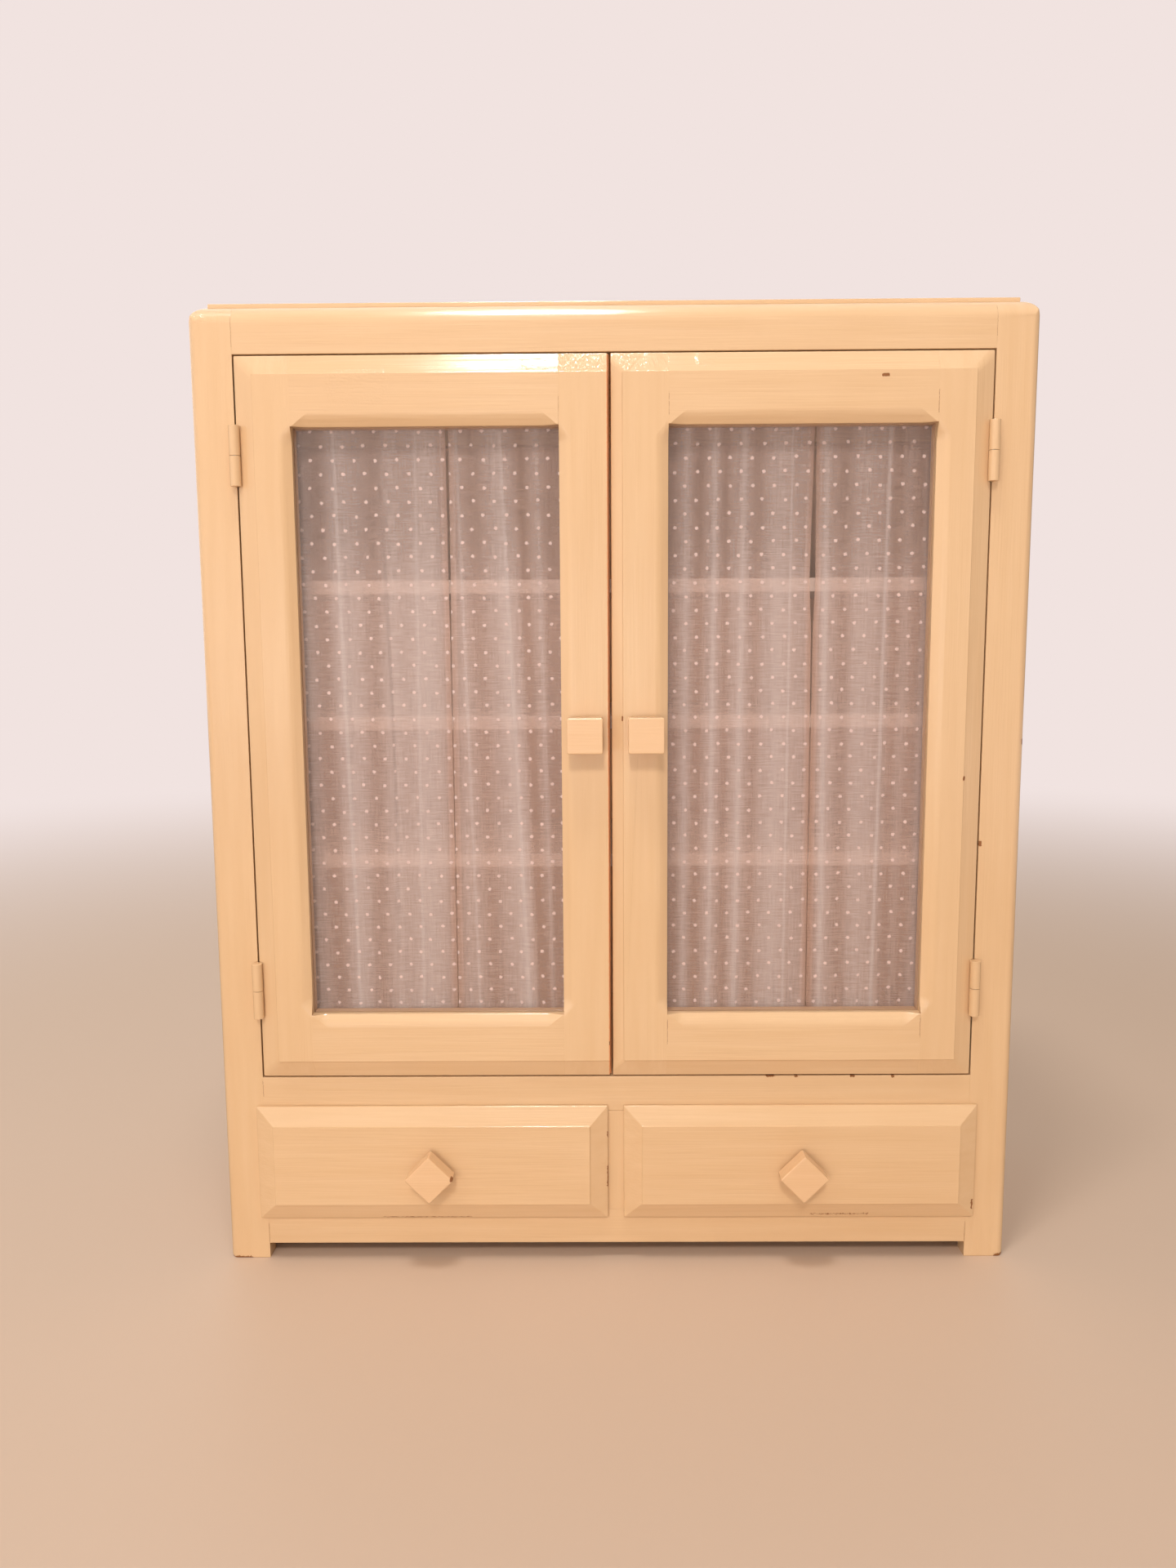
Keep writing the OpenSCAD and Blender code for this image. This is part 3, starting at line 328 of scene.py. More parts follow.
def brushedEnamel(name, stroke, colour=enamel["colour"], shade=enamel["shade"]):
    # stroke is the axis along which the brush was drawn: 0, 1 or 2
    made, tree = startMaterial(name)
    place = put(tree, "TexCoord").outputs["Object"]
    e = enamel
    bristles = grain(tree, place, stroke, e["bristleGap"], e["strokeLength"], 2.0)
    strokes = grain(tree, place, stroke, e["bristleGap"] * e["strokeGap"],
                    e["strokeLength"] * e["strokeReach"], 1.0)
    peel = noise(tree, place, 1000 / e["peelSize"], 1.0)["Fac"]
    cloudy = noise(tree, place, e["cloudScale"], 3.0)["Fac"]
    clouds = maths(tree, "MULTIPLY", cloudy, e["cloudTone"])
    tone = maths(tree, "MULTIPLY_ADD", strokes, e["strokeTone"], clouds)
    paint = mixed(tree, eased(tree, tone, e["toneFrom"], e["toneTo"]), colour, shade)

    # Chips are bare wood, cracks are broken up by the bristle marks, and the lip between the doors
    # takes its lightened bare-wood colour, a painted light for the shade in the gap
    lost = lossMask(tree, place, chips, softEnds["chips"])
    cracked = lossMask(tree, place, cracks, softEnds["cracks"])
    cracked = maths(tree, "MULTIPLY", cracked,
                    ranged(tree, bristles, e["crackFrom"], e["crackTo"]))
    cracked = maths(tree, "MULTIPLY", cracked, e["crackStrength"])
    bare = maths(tree, "MAXIMUM", lost, cracked)
    bareLipShare = lossMask(tree, place, bareLipPaintedLight, softEnds["bareLipPaintedLight"])
    seen = mixed(tree, bare, mixed(tree, bareLipShare, paint, e["bareLipPaintedLight"]), e["wood"])
    gloss = maths(tree, "MULTIPLY_ADD", cloudy, e["roughnessRange"],
                  e["roughness"] - e["roughnessRange"] / 2)
    gloss = put(tree, "Mix", {"data_type": "FLOAT"},
                {0: bare, 2: gloss, 3: e["bareRoughness"]}).outputs[0]

    height = maths(tree, "MULTIPLY_ADD", strokes, e["strokeHeight"], bristles)
    marked = bumped(tree, height, e["markHeight"])
    peeled = bumped(tree, peel, e["peelHeight"], normal=marked)
    grains = grain(tree, place, stroke, e["lumpSize"], e["lumpSize"] * e["lumpStretch"], 1.0)
    lumpy = maths(tree, "MULTIPLY", grains, lossMask(tree, place, lumps, softEnds["lumps"]))
    sagged = bumped(tree, lumpy, e["lumpHeight"], normal=peeled)
    chipped = bumped(tree, bare, e["chipDepth"], normal=sagged, inward=True)
    # The gloss spreads along the tangent, which lies square to the bristle marks
    square = put(tree, "VectorTransform", {"vector_type": "VECTOR", "convert_from": "OBJECT",
                                           "convert_to": "WORLD"},
                 {0: (1, 0, 0) if stroke == 2 else (0, 0, 1)}).outputs[0]
    shader = put(tree, "BsdfPrincipled", inputs={
        "Base Color": seen, "Roughness": gloss, "Normal": chipped, "IOR": 1.5,
        "Anisotropic": e["across"], "Tangent": square})
    finishMaterial(tree, shader.outputs[0])
    return made


# Pine, planed and left bare: pale early wood between browner late-wood lines along the grain
pineWood = {"early": "#DDB988", "late": "#B98753", "roughness": 0.62,
            "ringGap": 7.0, "ringLength": 190, "ringTwist": 0.8,  # mm, mm, and how they wander
            "ringCount": 7.0, "lateFrom": 0.35, "lateTo": 0.95,
            "fibreGap": 0.9, "fibreLength": 40, "fibreHeight": 0.6,
            "grainHeight": 0.08, "grainStrength": 0.6}


def planedPine(name, axis, early=pineWood["early"], late=pineWood["late"]):
    # axis is the one along which the grain runs: 0, 1 or 2
    made, tree = startMaterial(name)
    place = put(tree, "TexCoord").outputs["Object"]
    p = pineWood
    rings = grain(tree, place, axis, p["ringGap"], p["ringLength"], 2.0, p["ringTwist"])
    ringed = maths(tree, "FRACT", maths(tree, "MULTIPLY", rings, p["ringCount"]))
    lateWood = eased(tree, ringed, p["lateFrom"], p["lateTo"])
    fibres = grain(tree, place, axis, p["fibreGap"], p["fibreLength"], 2.0)
    colour = mixed(tree, maths(tree, "MULTIPLY", lateWood, fibres), early, late)
    height = maths(tree, "MULTIPLY_ADD", fibres, p["fibreHeight"], lateWood)
    grained = bumped(tree, height, p["grainHeight"], p["grainStrength"])
    shader = put(tree, "BsdfPrincipled", inputs={"Base Color": colour, "Normal": grained,
                                                 "Roughness": p["roughness"]})
    finishMaterial(tree, shader.outputs[0])
    return made


# Zinc-plated steel, brass and moulded plastic for the small hardware: colour, metallic and
# roughness of each, and the grime that dulls and darkens them all
hardware = {"zincSteel": ("#A9A7A2", 1.0, 0.34), "drawnBrass": ("#C79F55", 1.0, 0.28),
            "mouldedPlastic": ("#5F4130", 0.0, 0.42)}
grime = {"scale": 160.0, "darkest": 0.72, "from": 0.35, "to": 0.7, "shinier": 0.06,
         "duller": 0.16, "height": 0.05, "strength": 0.3}


def metalOrPlastic(name):
    colour, metallic, roughness = hardware[name]
    made, tree = startMaterial(name)
    place = put(tree, "TexCoord").outputs["Object"]
    dirt = noise(tree, place, grime["scale"], 3.0)["Fac"]
    dulled = ranged(tree, dirt, grime["from"], grime["to"],
                    roughness - grime["shinier"], roughness + grime["duller"])
    clean = hexColour(colour)
    toned = mixed(tree, dirt, clean, (*(grime["darkest"] * c for c in clean[:3]), 1.0))
    uneven = bumped(tree, dirt, grime["height"], grime["strength"])
    shader = put(tree, "BsdfPrincipled", inputs={"Base Color": toned, "Metallic": metallic,
                                                 "Roughness": dulled, "Normal": uneven})
    finishMaterial(tree, shader.outputs[0])
    return made


# Thin float glass: clear, with a Fresnel mirror image of the room and a little dust
pane = {"tint": "#F8F5F5", "dust": "#D8D0C8", "dustShare": 0.035, "roughness": 0.03,
        "headOn": 0.02, "grazing": 0.48}  # mirrored share of each of the pane's two faces


def floatGlass():
    made, tree = startMaterial("floatGlass")
    clear = put(tree, "BsdfTransparent", inputs={"Color": hexColour(pane["tint"])}).outputs[0]
    mirror = put(tree, "BsdfGlossy", inputs={"Color": (1, 1, 1, 1),
                                             "Roughness": pane["roughness"]}).outputs[0]
    # Schlick's share, 0.04 + 0.96 facing^5, halved because the pane has two faces
    facing = put(tree, "LayerWeight", inputs={"Blend": 0.5}).outputs["Facing"]
    share = maths(tree, "MULTIPLY_ADD", maths(tree, "POWER", facing, 5.0),
                  pane["grazing"], pane["headOn"])
    film = put(tree, "BsdfDiffuse", inputs={"Color": hexColour(pane["dust"])}).outputs[0]
    lit = mixedShaders(tree, share, clear, mirror)
    finishMaterial(tree, mixedShaders(tree, pane["dustShare"], lit, film))
    return made


# Sheer cotton voile with small woven dots. Its map is in metres on the flat cloth, and the
# sizes here are in mm
# Two of these colours stand in for light: a lighter one over the folds that lie over each other, a
# painted light, and a browner one in the valleys between folds, a painted shade
voile = {"ground": "#F8E6DC", "thread": "#FEF3EB", "dot": "#FFF1EB", "paintedFoldLight": "#FFFAF6",
         "paintedValleyShade": "#E6BFA4",  # a painted shade in the valleys between folds
         "roughness": 0.85, "sheen": 0.15, "sheenRoughness": 0.5,
         "openness": 0.62,     # how much of the light passes each of a layer's two faces
         "flatten": 1.0,       # how far folds are shaded like flat cloth
         "through": 0.15,      # share of the cloth's light that comes through from behind
         "threadGap": 1.0,     # real threads are near 0.35
         "weftLength": 16.0, "warpLength": 22.0, "weftShare": 0.6,
         "slubGap": 0.9, "slubLength": 60.0, "slubFrom": 0.66, "slubTo": 0.8,
         "weaveFrom": 0.3, "weaveTo": 0.7, "threadFrom": 0.35, "threadTo": 0.65,
         "dotAcross": 19.5, "dotRows": 11.6, "dotWidth": 3.6, "dotHeight": 3.4,
         "strayAcross": 0.10, "strayAlong": 0.12,  # of the distance between two dots
         "dotFuzz": 0.9, "fuzzScale": 700.0, "dotFrom": 1.85, "dotTo": 0.95,
         "hem": 5.0, "height": 0.2, "strength": 0.5, "dotRelief": 1.5,
         # What is added to the share of light that a face stops
         "weaveCover": 0.11, "slubCover": 0.1, "foldCover": 0.13, "paintedShadeCover": -0.13,
         "hemCover": 0.12, "dotCover": 0.93}


def dottedVoile():
    made, tree = startMaterial("dottedVoile")
    w = voile

    def calc(operation, *values):
        return maths(tree, operation, *values)

    def carried(name):
        return put(tree, "Attribute", {"attribute_name": name}).outputs["Fac"]

    flat = put(tree, "UVMap", {"uv_map": "flatCloth"}).outputs[0]
    across, along = put(tree, "SeparateXYZ", inputs={0: flat}).outputs[:2]
    # Staggered dots: every other row is moved on by half the distance between dots
    row = calc("DIVIDE", along, w["dotRows"] * mm)
    rowNumber = calc("FLOOR", row)
    shift = calc("MULTIPLY", calc("MODULO", rowNumber, 2.0), 0.5)
    column = calc("ADD", calc("DIVIDE", across, w["dotAcross"] * mm), shift)
    cell = put(tree, "CombineXYZ", inputs={0: calc("FLOOR", column), 1: rowNumber}).outputs[0]
    stray = put(tree, "TexWhiteNoise", {"noise_dimensions": "3D"}, {0: cell}).outputs["Color"]
    strayX, strayY = put(tree, "SeparateXYZ", inputs={0: stray}).outputs[:2]
    # From the middle of the dot, in half widths and half heights of it
    dx = calc("MULTIPLY_ADD", strayX, w["strayAcross"],
              calc("SUBTRACT", calc("FRACT", column), 0.5 + w["strayAcross"] / 2))
    dy = calc("MULTIPLY_ADD", strayY, w["strayAlong"],
              calc("SUBTRACT", calc("FRACT", row), 0.5 + w["strayAlong"] / 2))
    dx = calc("MULTIPLY", dx, 2 * w["dotAcross"] / w["dotWidth"])
    dy = calc("MULTIPLY", dy, 2 * w["dotRows"] / w["dotHeight"])
    away = calc("SQRT", calc("ADD", calc("MULTIPLY", dx, dx), calc("MULTIPLY", dy, dy)))
    away = calc("MULTIPLY_ADD", noise(tree, flat, w["fuzzScale"], 1.0)["Fac"], w["dotFuzz"], away)
    dot = eased(tree, away, w["dotFrom"], w["dotTo"])

    gap = w["threadGap"]
    weft = grain(tree, flat, 0, gap, w["weftLength"], 2.0)
    warp = grain(tree, flat, 1, gap, w["warpLength"], 2.0)
    slub = ranged(tree, grain(tree, flat, 0, gap * w["slubGap"], w["slubLength"], 2.0),
                  w["slubFrom"], w["slubTo"])
    weave = calc("MULTIPLY_ADD", weft, w["weftShare"],
                 calc("MULTIPLY", warp, 1 - w["weftShare"]))
    dense = ranged(tree, weave, w["weaveFrom"], w["weaveTo"],
                   -w["weaveCover"], w["weaveCover"])
    # gathered is 1 where folds lie over each other and -1 where the cloth hangs stretched in the
    # valleys between them. It sets how much light the cloth stops, and also where the painted
    # light and the painted shade go
    gathered = carried("gathered")
    foldLightShare = calc("MAXIMUM", gathered, 0.0)
    valleyShadeShare = calc("MAXIMUM", calc("MULTIPLY", gathered, -1.0), 0.0)
    cover = calc("ADD", dense, 1 - w["openness"])
    # Above the highest shelf the cloth is made to stop less light, so that the dark inside shows
    # through: a painted shade
    for share, added in ((slub, w["slubCover"]), (gathered, w["foldCover"]),
                         (carried("paintedShadeAbove"), w["paintedShadeCover"]),
                         (carried("hemShare"), w["hemCover"])):
        cover = calc("MULTIPLY_ADD", share, added, cover)
    cover = calc("MAXIMUM", cover, calc("MULTIPLY", dot, w["dotCover"]))
    cover = put(tree, "Clamp", inputs={0: cover}).outputs[0]
    colour = mixed(tree, ranged(tree, weave, w["threadFrom"], w["threadTo"]),
                   w["ground"], w["thread"])
    # Painted light over the folds that lie over each other, and painted shade in the valleys
    # between folds
    colour = mixed(tree, foldLightShare, colour, w["paintedFoldLight"])
    colour = mixed(tree, valleyShadeShare, colour, w["paintedValleyShade"])
    colour = mixed(tree, dot, colour, w["dot"])
    # Loose threads scatter the light, so that folds show softly: the normal n is bent to
    # n + flatten sign(n . f) f, with f square to the hanging cloth
    face = put(tree, "VectorTransform", {"vector_type": "NORMAL", "convert_from": "OBJECT",
                                         "convert_to": "WORLD"}, {0: (0, -1, 0)}).outputs[0]
    normal = put(tree, "NewGeometry").outputs["Normal"]
    toward = calc("MULTIPLY", calc("SIGN", vectors(tree, "DOT_PRODUCT", normal, face)),
                  w["flatten"])
    bent = put(tree, "VectorMath", {"operation": "SCALE"}, {0: face, "Scale": toward}).outputs[0]
    bent = vectors(tree, "NORMALIZE", vectors(tree, "ADD", normal, bent))
    height = calc("MULTIPLY_ADD", dot, w["dotRelief"], weave)
    woven = bumped(tree, height, w["height"], w["strength"], bent)
    shader = put(tree, "BsdfPrincipled", inputs={
        "Base Color": colour, "Roughness": w["roughness"], "Normal": woven,
        "Sheen Weight": w["sheen"], "Sheen Roughness": w["sheenRoughness"]}).outputs[0]
    behind = put(tree, "BsdfTranslucent", inputs={"Color": colour, "Normal": woven}).outputs[0]
    both = mixedShaders(tree, w["through"], shader, behind)
    gaps = put(tree, "BsdfTransparent").outputs[0]
    finishMaterial(tree, mixedShaders(tree, cover, gaps, both))
    return made


upright = brushedEnamel("brushedEnamelUpright", 2)
level = brushedEnamel("brushedEnamelLevel", 0)
knobPaint = brushedEnamel("brushedEnamelKnobs", 0, "#E0BD95", "#D9B389")
pineAcross = planedPine("planedPineAcross", 0)
pineDeep = planedPine("planedPineDeep", 1)
creamPaint = brushedEnamel("brushedCreamEnamel", 0, "#F1E4D9", "#EBDCCD")
plywoodBack = planedPine("rotaryCutPlywood", 2, "#D2AC86", "#B88E66")
plywoodBottom = planedPine("rotaryCutPlywoodBottom", 0, "#D9B98C", "#C09A68")
zincSteel, drawnBrass = metalOrPlastic("zincSteel"), metalOrPlastic("drawnBrass")
mouldedPlastic = metalOrPlastic("mouldedPlastic")
glass, cloth = floatGlass(), dottedVoile()
print("materials are made")

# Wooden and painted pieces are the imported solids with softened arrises. Widths are in mm and
# angles in degrees. arris is the round that sanding and paint leave, and joint the hairline
# where wood meets. The brush has filled the edges between softFrom and softTo, which are
# those of the stopped chamfers round the glass, to the round softRound
wooden = {"arris": 0.7, "joint": 0.14, "sharpFrom": 25, "thinArris": 0.35, "softFrom": 18,
          "softTo": 46, "softRound": 4.0, "plateArris": 0.2, "plasticArris": 0.6,
          "flatWithin": 0.5, "planeWithin": 0.04,
          "roomShare": 0.42, "straightBelow": -0.87}  # the cosine at a nearly straight corner
sides = {"left": -1, "right": 1}
openingX = 314                   # half the width of the opening between the stiles
glassNear, glassX = 45.2, 266.2  # the glass's edges, from the middle of the cabinet
plenty = 1e3                     # a limit in metres that never holds anything back


def smoothAll(mesh):
    mesh.polygons.foreach_set("use_smooth", np.ones(len(mesh.polygons), bool))


def shadeByArea(made):
    shading = made.modifiers.new("shading", "WEIGHTED_NORMAL")
    shading.mode, shading.weight = "FACE_AREA", 100


def edgeLimits(mesh):
    # The widest round that each edge can take, so that none takes more than its share of the
    # room beside it: at each corner of a face, with the edges a and b and the angle t between
    # them, a has |b| sin t of room, and b has |a| sin t
    count = len(mesh.loops)
    vertex, edge = np.empty(count, int), np.empty(count, int)
    mesh.loops.foreach_get("vertex_index", vertex)
    mesh.loops.foreach_get("edge_index", edge)
    first, total = np.empty(len(mesh.polygons), int), np.empty(len(mesh.polygons), int)
    mesh.polygons.foreach_get("loop_start", first)
    mesh.polygons.foreach_get("loop_total", total)
    after, before = np.arange(count) + 1, np.arange(count) - 1
    after[first + total - 1], before[first] = first, first + total - 1
    co = np.empty(len(mesh.vertices) * 3)
    mesh.vertices.foreach_get("co", co)
    co = co.reshape(-1, 3)
    ahead, behind = co[vertex[after]] - co[vertex], co[vertex[before]] - co[vertex]
    long, short = np.linalg.norm(ahead, axis=1), np.linalg.norm(behind, axis=1)
    cosine = (ahead * behind).sum(axis=1) / (long * short)
    room = np.where(cosine > wooden["straightBelow"],
                    wooden["roomShare"] * np.sqrt(np.clip(1 - cosine ** 2, 0, 1)), plenty)
    limit = np.full(len(mesh.edges), plenty)
    np.minimum.at(limit, edge[before], room * long)
    np.minimum.at(limit, edge, room * short)
    return limit


def softened(name, material, arris=wooden["arris"], joints=(), segments=2, soft=0.0):
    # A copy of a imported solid, with its loose triangles merged into flat faces. Each sharp
    # edge is rounded by arris, or by a hairline where both its ends lie in a joint's plane.
    # The edges of stopped chamfers take the wide round, soft
    source = frame["nodes"][name]
    skin = bmesh.new()
    skin.from_mesh(source.data)
    bmesh.ops.remove_doubles(skin, verts=skin.verts, dist=1e-6)
    bmesh.ops.dissolve_limit(skin, angle_limit=math.radians(wooden["flatWithin"]),
                             verts=skin.verts, edges=skin.edges)
    degrees = np.degrees([edge.calc_face_angle(0) for edge in skin.edges])
    ends = np.array([[end.co for end in edge.verts] for edge in skin.edges])
    mesh = bpy.data.meshes.new(name + "_finished")
    skin.to_mesh(mesh)
    skin.free()
    across = np.where(degrees > wooden["sharpFrom"], arris, 0.0)
    for axis, at in joints:
        away = np.abs(ends[:, :, axis] - at * mm)
        inPlane = (away < wooden["planeWithin"] * mm).all(axis=1)
        across[inPlane] = np.minimum(across[inPlane], wooden["joint"])
    if soft:
        filled = (degrees > wooden["softFrom"]) & (degrees < wooden["softTo"])
        across[filled] = soft
    widest = max(arris, soft)
    weight = np.minimum(across / widest, edgeLimits(mesh) / (widest * mm)).astype(np.float32)
    mesh.attributes.new("bevel_weight_edge", "FLOAT", "EDGE").data.foreach_set("value", weight)
    smoothAll(mesh)
    mesh.materials.append(material)
    made = addObject(name + "_finished", mesh)
    rounding = made.modifiers.new("arris", "BEVEL")
    rounding.limit_method, rounding.width, rounding.segments = "WEIGHT", widest * mm, segments
    rounding.use_clamp_overlap = False
    shadeByArea(made)
    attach(made, source["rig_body"])
    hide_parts(name)


# Block handle: a painted square block on a round neck, with a peg in the wood behind it
block = {"width": 30.0, "deep": 16.0, "corner": 1.6, "round": 0.9, "neckRadius": 8.0,
         "neckLong": 5.0, "pegRadius": 5.0, "around": 64, "roundSteps": 5, "pole": 0.02,
         "flatInset": 1.8, "flatCorner": 0.6}  # the ring that keeps the front's middle flat


def blockHandle(name, turn=0.0):
    # Rings along the depth, each a square of half width h with corners of radius r, so that
    # h = r makes a circle: x = sign(cos t) (h - r) + r cos t, and z the same with sin t.
    # The rounds of the front and back follow h = w - q (1 - sin a), y = q (1 - cos a)
    b = block
    low, high = np.array(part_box(name)) / mm
    middle = (low + high) / 2
    front, back, half, q = low[1], low[1] + b["deep"], b["width"] / 2, b["round"]
    a = np.linspace(0, math.pi / 2, b["roundSteps"])
    rounded = np.stack([half - q * (1 - np.sin(a)), front + q * (1 - np.cos(a)),
                        b["corner"] - 0.5 * q * (1 - np.sin(a))], 1)
    behind = rounded[::-1] * [1, -1, 1] + [0, front + back, 0]
    neck, peg, neckEnd = b["neckRadius"], b["pegRadius"], back + b["neckLong"]
    stem = [[neck, back, neck], [neck, neckEnd, neck], [peg, neckEnd, peg],
            [peg, high[1], peg], [b["pole"], high[1], b["pole"]]]
    cap = [[b["pole"], front, b["pole"] / 2], [half - b["flatInset"], front, b["flatCorner"]]]
    rings = np.concatenate([cap, rounded, behind, stem])
    wide, y, r = rings.T[:, :, None]
    t = (np.arange(b["around"]) + 0.5)[None, :] * 2 * math.pi / b["around"]
    x = np.sign(np.cos(t)) * (wide - r) + r * np.cos(t)
    z = np.sign(np.sin(t)) * (wide - r) + r * np.sin(t)
    spunX = math.cos(turn) * x + math.sin(turn) * z
    spunZ = math.cos(turn) * z - math.sin(turn) * x
    co = np.stack([spunX + middle[0], y + 0 * x, spunZ + middle[2]], 2)
    index = np.arange(x.size).reshape(x.shape)
    right = np.roll(index, -1, axis=1)
    quads = np.stack([index[:-1], index[1:], right[1:], right[:-1]], 2).reshape(-1, 4)
    mesh = bpy.data.meshes.new(name + "_finished")
    mesh.from_pydata(co.reshape(-1, 3) * mm, [],
                     quads.tolist() + [index[0].tolist(), index[-1][::-1].tolist()])
    smoothAll(mesh)
    mesh.materials.append(knobPaint)
    made = addObject(name + "_finished", mesh)
    shadeByArea(made)
    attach(made, frame["nodes"][name]["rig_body"])
    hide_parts(name)


framePlane = (1, frontY + 18)  # the back of the face frame, where the side boards meet it
stileJoints = [(0, -openingX), (0, openingX), framePlane]
boards = [
    ("left_side_board", upright, [framePlane]), ("right_side_board", upright, [framePlane]),
    ("top_board", pineAcross, []), ("top_cap", level, []), ("cupboard_floor", level, []),
    ("base_board", pineAcross, []), ("back_panel", plywoodBack, []),
    ("hanging_rail", pineAcross, []), ("drawer_divider", pineDeep, []),
    ("drawer_guides", pineDeep, []), ("drawer_kickers", pineDeep, []),
    ("upper_shelf", creamPaint, []), ("middle_shelf", creamPaint, []),
    ("lower_shelf", creamPaint, []), ("shelf_cleats", pineDeep, []),
    ("left_face_stile", upright, [(0, -openingX), framePlane]),
    ("right_face_stile", upright, [(0, openingX), framePlane]),
    ("top_face_rail", level, stileJoints), ("middle_face_rail", level, stileJoints),
    ("bottom_face_rail", level, stileJoints),
    ("drawer_muntin", upright, [(2, 46), (2, 138.5), framePlane]),
]
for name, material, joints in boards:
    softened(name, material, joints=joints)

for side, sign in sides.items():
    nearJoint, farJoint = (0, sign * glassNear), (0, sign * glassX)
    for part, material in (("hinge_stile", upright), ("meeting_stile", upright),
                           ("door_top_rail", level), ("door_bottom_rail", level)):
        softened(f"{side}_{part}", material, joints=[nearJoint, farJoint], segments=4,
                 soft=wooden["softRound"])
    softened(f"{side}_glazing_beads", level, wooden["thinArris"])
    softened(f"{side}_hinge_leaves", upright, wooden["thinArris"])
    blockHandle(f"{side}_handle")
    softened(f"{side}_catch_plate", zincSteel, wooden["plateArris"])
    softened(f"{side}_drawer_front", level)
    softened(f"{side}_drawer_sides", pineDeep, wooden["thinArris"])
    softened(f"{side}_drawer_back", pineAcross, wooden["thinArris"])
    softened(f"{side}_drawer_bottom", plywoodBottom, wooden["thinArris"])
    blockHandle(f"{side}_drawer_knob", turn=math.radians(45))
softened("frame_hinge_leaves", upright, wooden["thinArris"])
softened("catch_housings", mouldedPlastic, wooden["plasticArris"])

kept = {"hinge_pins": zincSteel}
for side in sides:
    kept[f"{side}_glass"] = glass
    kept[f"{side}_curtain_rods"] = drawnBrass
    kept[f"{side}_rod_eyes"] = drawnBrass
for name, material in kept.items():
    mesh = frame["nodes"][name].data
    mesh.materials.clear()
    mesh.materials.append(material)
print("wooden and painted pieces are finished")

# Screws and nails that hold the hardware, the cleats and the back. Each kind's radius, dome
# and slot are in mm; buried is how far a head goes below the surface that it sits in, and
# slotDepth is in domes
heads = {"hingeScrew": (3.3, 0.22, 0.8), "smallScrew": (2.6, 0.35, 0.7), "pin": (1.3, 0.25, 0.0)}
headForm = {"buried": 1.2, "slotDepth": 1.1, "rim": 0.999, "strips": 13, "sideStrips": 7}
# Where they sit, in mm in the part's frame
spots = {"hingeZ": (251.5, 708.0), "leafHoles": ((-99.6, -19), (-103.4, 0), (-99.6, 19)),
         "doorLeafX": 312.8, "plateX": (29.0, 51.0), "plateY": -93.65, "plateZ": 178,
         "cleatX": 320.0, "cleatY": (-35.0, 110.0), "cleatZ": (342.0, 467.0, 587.0),
         "nailY": 141.35, "nailRowsZ": (41.0, 817.0), "nailRowX": 333, "rowNails": 8,
         "nailColumnX": 336, "columnZ": (140, 730), "columnNails": 7}


def headShape(radius, dome, slot):
    # Strips along the slot: at u the strip reaches v = +-sqrt(R^2 - u^2), and its height is
    # dome (1 - (u^2 + v^2) / R^2), less the slot's depth between u = -slot/2 and slot/2
    half, edge = slot / 2, radius * headForm["rim"]
    side = np.linspace(half, edge, headForm["sideStrips"])
    u = (np.concatenate([-side[::-1], [-half, half], side]) if slot
         else np.linspace(-edge, edge, headForm["strips"]))
    sunk = np.zeros(len(u))
    if slot:
        sunk[len(side):len(side) + 2] = headForm["slotDepth"]
    v = np.sqrt(radius ** 2 - u ** 2)[:, None] * np.linspace(-1, 1, headForm["strips"])[None, :]
    u = u[:, None] + 0 * v
    top = dome * (1 - (u ** 2 + v ** 2) / radius ** 2) - sunk[:, None] * dome
    return u, v, top, np.full_like(u, -headForm["buried"])


def fasteners(name, body, kind, rows, material):
    # Each row is the centre of a head and the way that it faces
    u, v, top, under = headShape(*heads[kind])
    rng = np.random.default_rng(len(rows))
    index = np.arange(u.size).reshape(u.shape)
    upper = np.stack([index[:-1, :-1], index[1:, :-1], index[1:, 1:], index[:-1, 1:]], 2)
    upper = upper.reshape(-1, 4)
    lower = upper[:, ::-1] + u.size
    rim = np.concatenate([index[:, 0], index[-1, 1:], index[-2::-1, -1], index[0, -2:0:-1]])
    following = np.roll(rim, -1)
    wall = np.stack([rim, rim + u.size, following + u.size, following], 1)
    quads = np.concatenate([upper, lower, wall])
    flat = np.concatenate([np.stack([u, v, top], 2), np.stack([u, v, under], 2)]).reshape(-1, 3)
    points, faces = [], []
    for number, (centre, facing) in enumerate(rows):
        # The head's axes: facing, and two more turned by a chance angle round it
        facing = np.array(facing, float)
        first = np.cross(facing, (0, 0, 1) if abs(facing[2]) < 0.5 else (1, 0, 0))
        second = np.cross(facing, first)
        turn = rng.uniform(0, math.pi)
        a = math.cos(turn) * first + math.sin(turn) * second
        b = np.cross(facing, a)
        points.append(np.array(centre) + flat[:, :1] * a + flat[:, 1:2] * b + flat[:, 2:] * facing)
        faces.append(quads + number * 2 * u.size)
    mesh = bpy.data.meshes.new(name)
    mesh.from_pydata(np.concatenate(points) * mm, [], np.concatenate(faces).tolist())
    mesh.materials.append(material)
    made = addObject(name, mesh)
    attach(made, body)


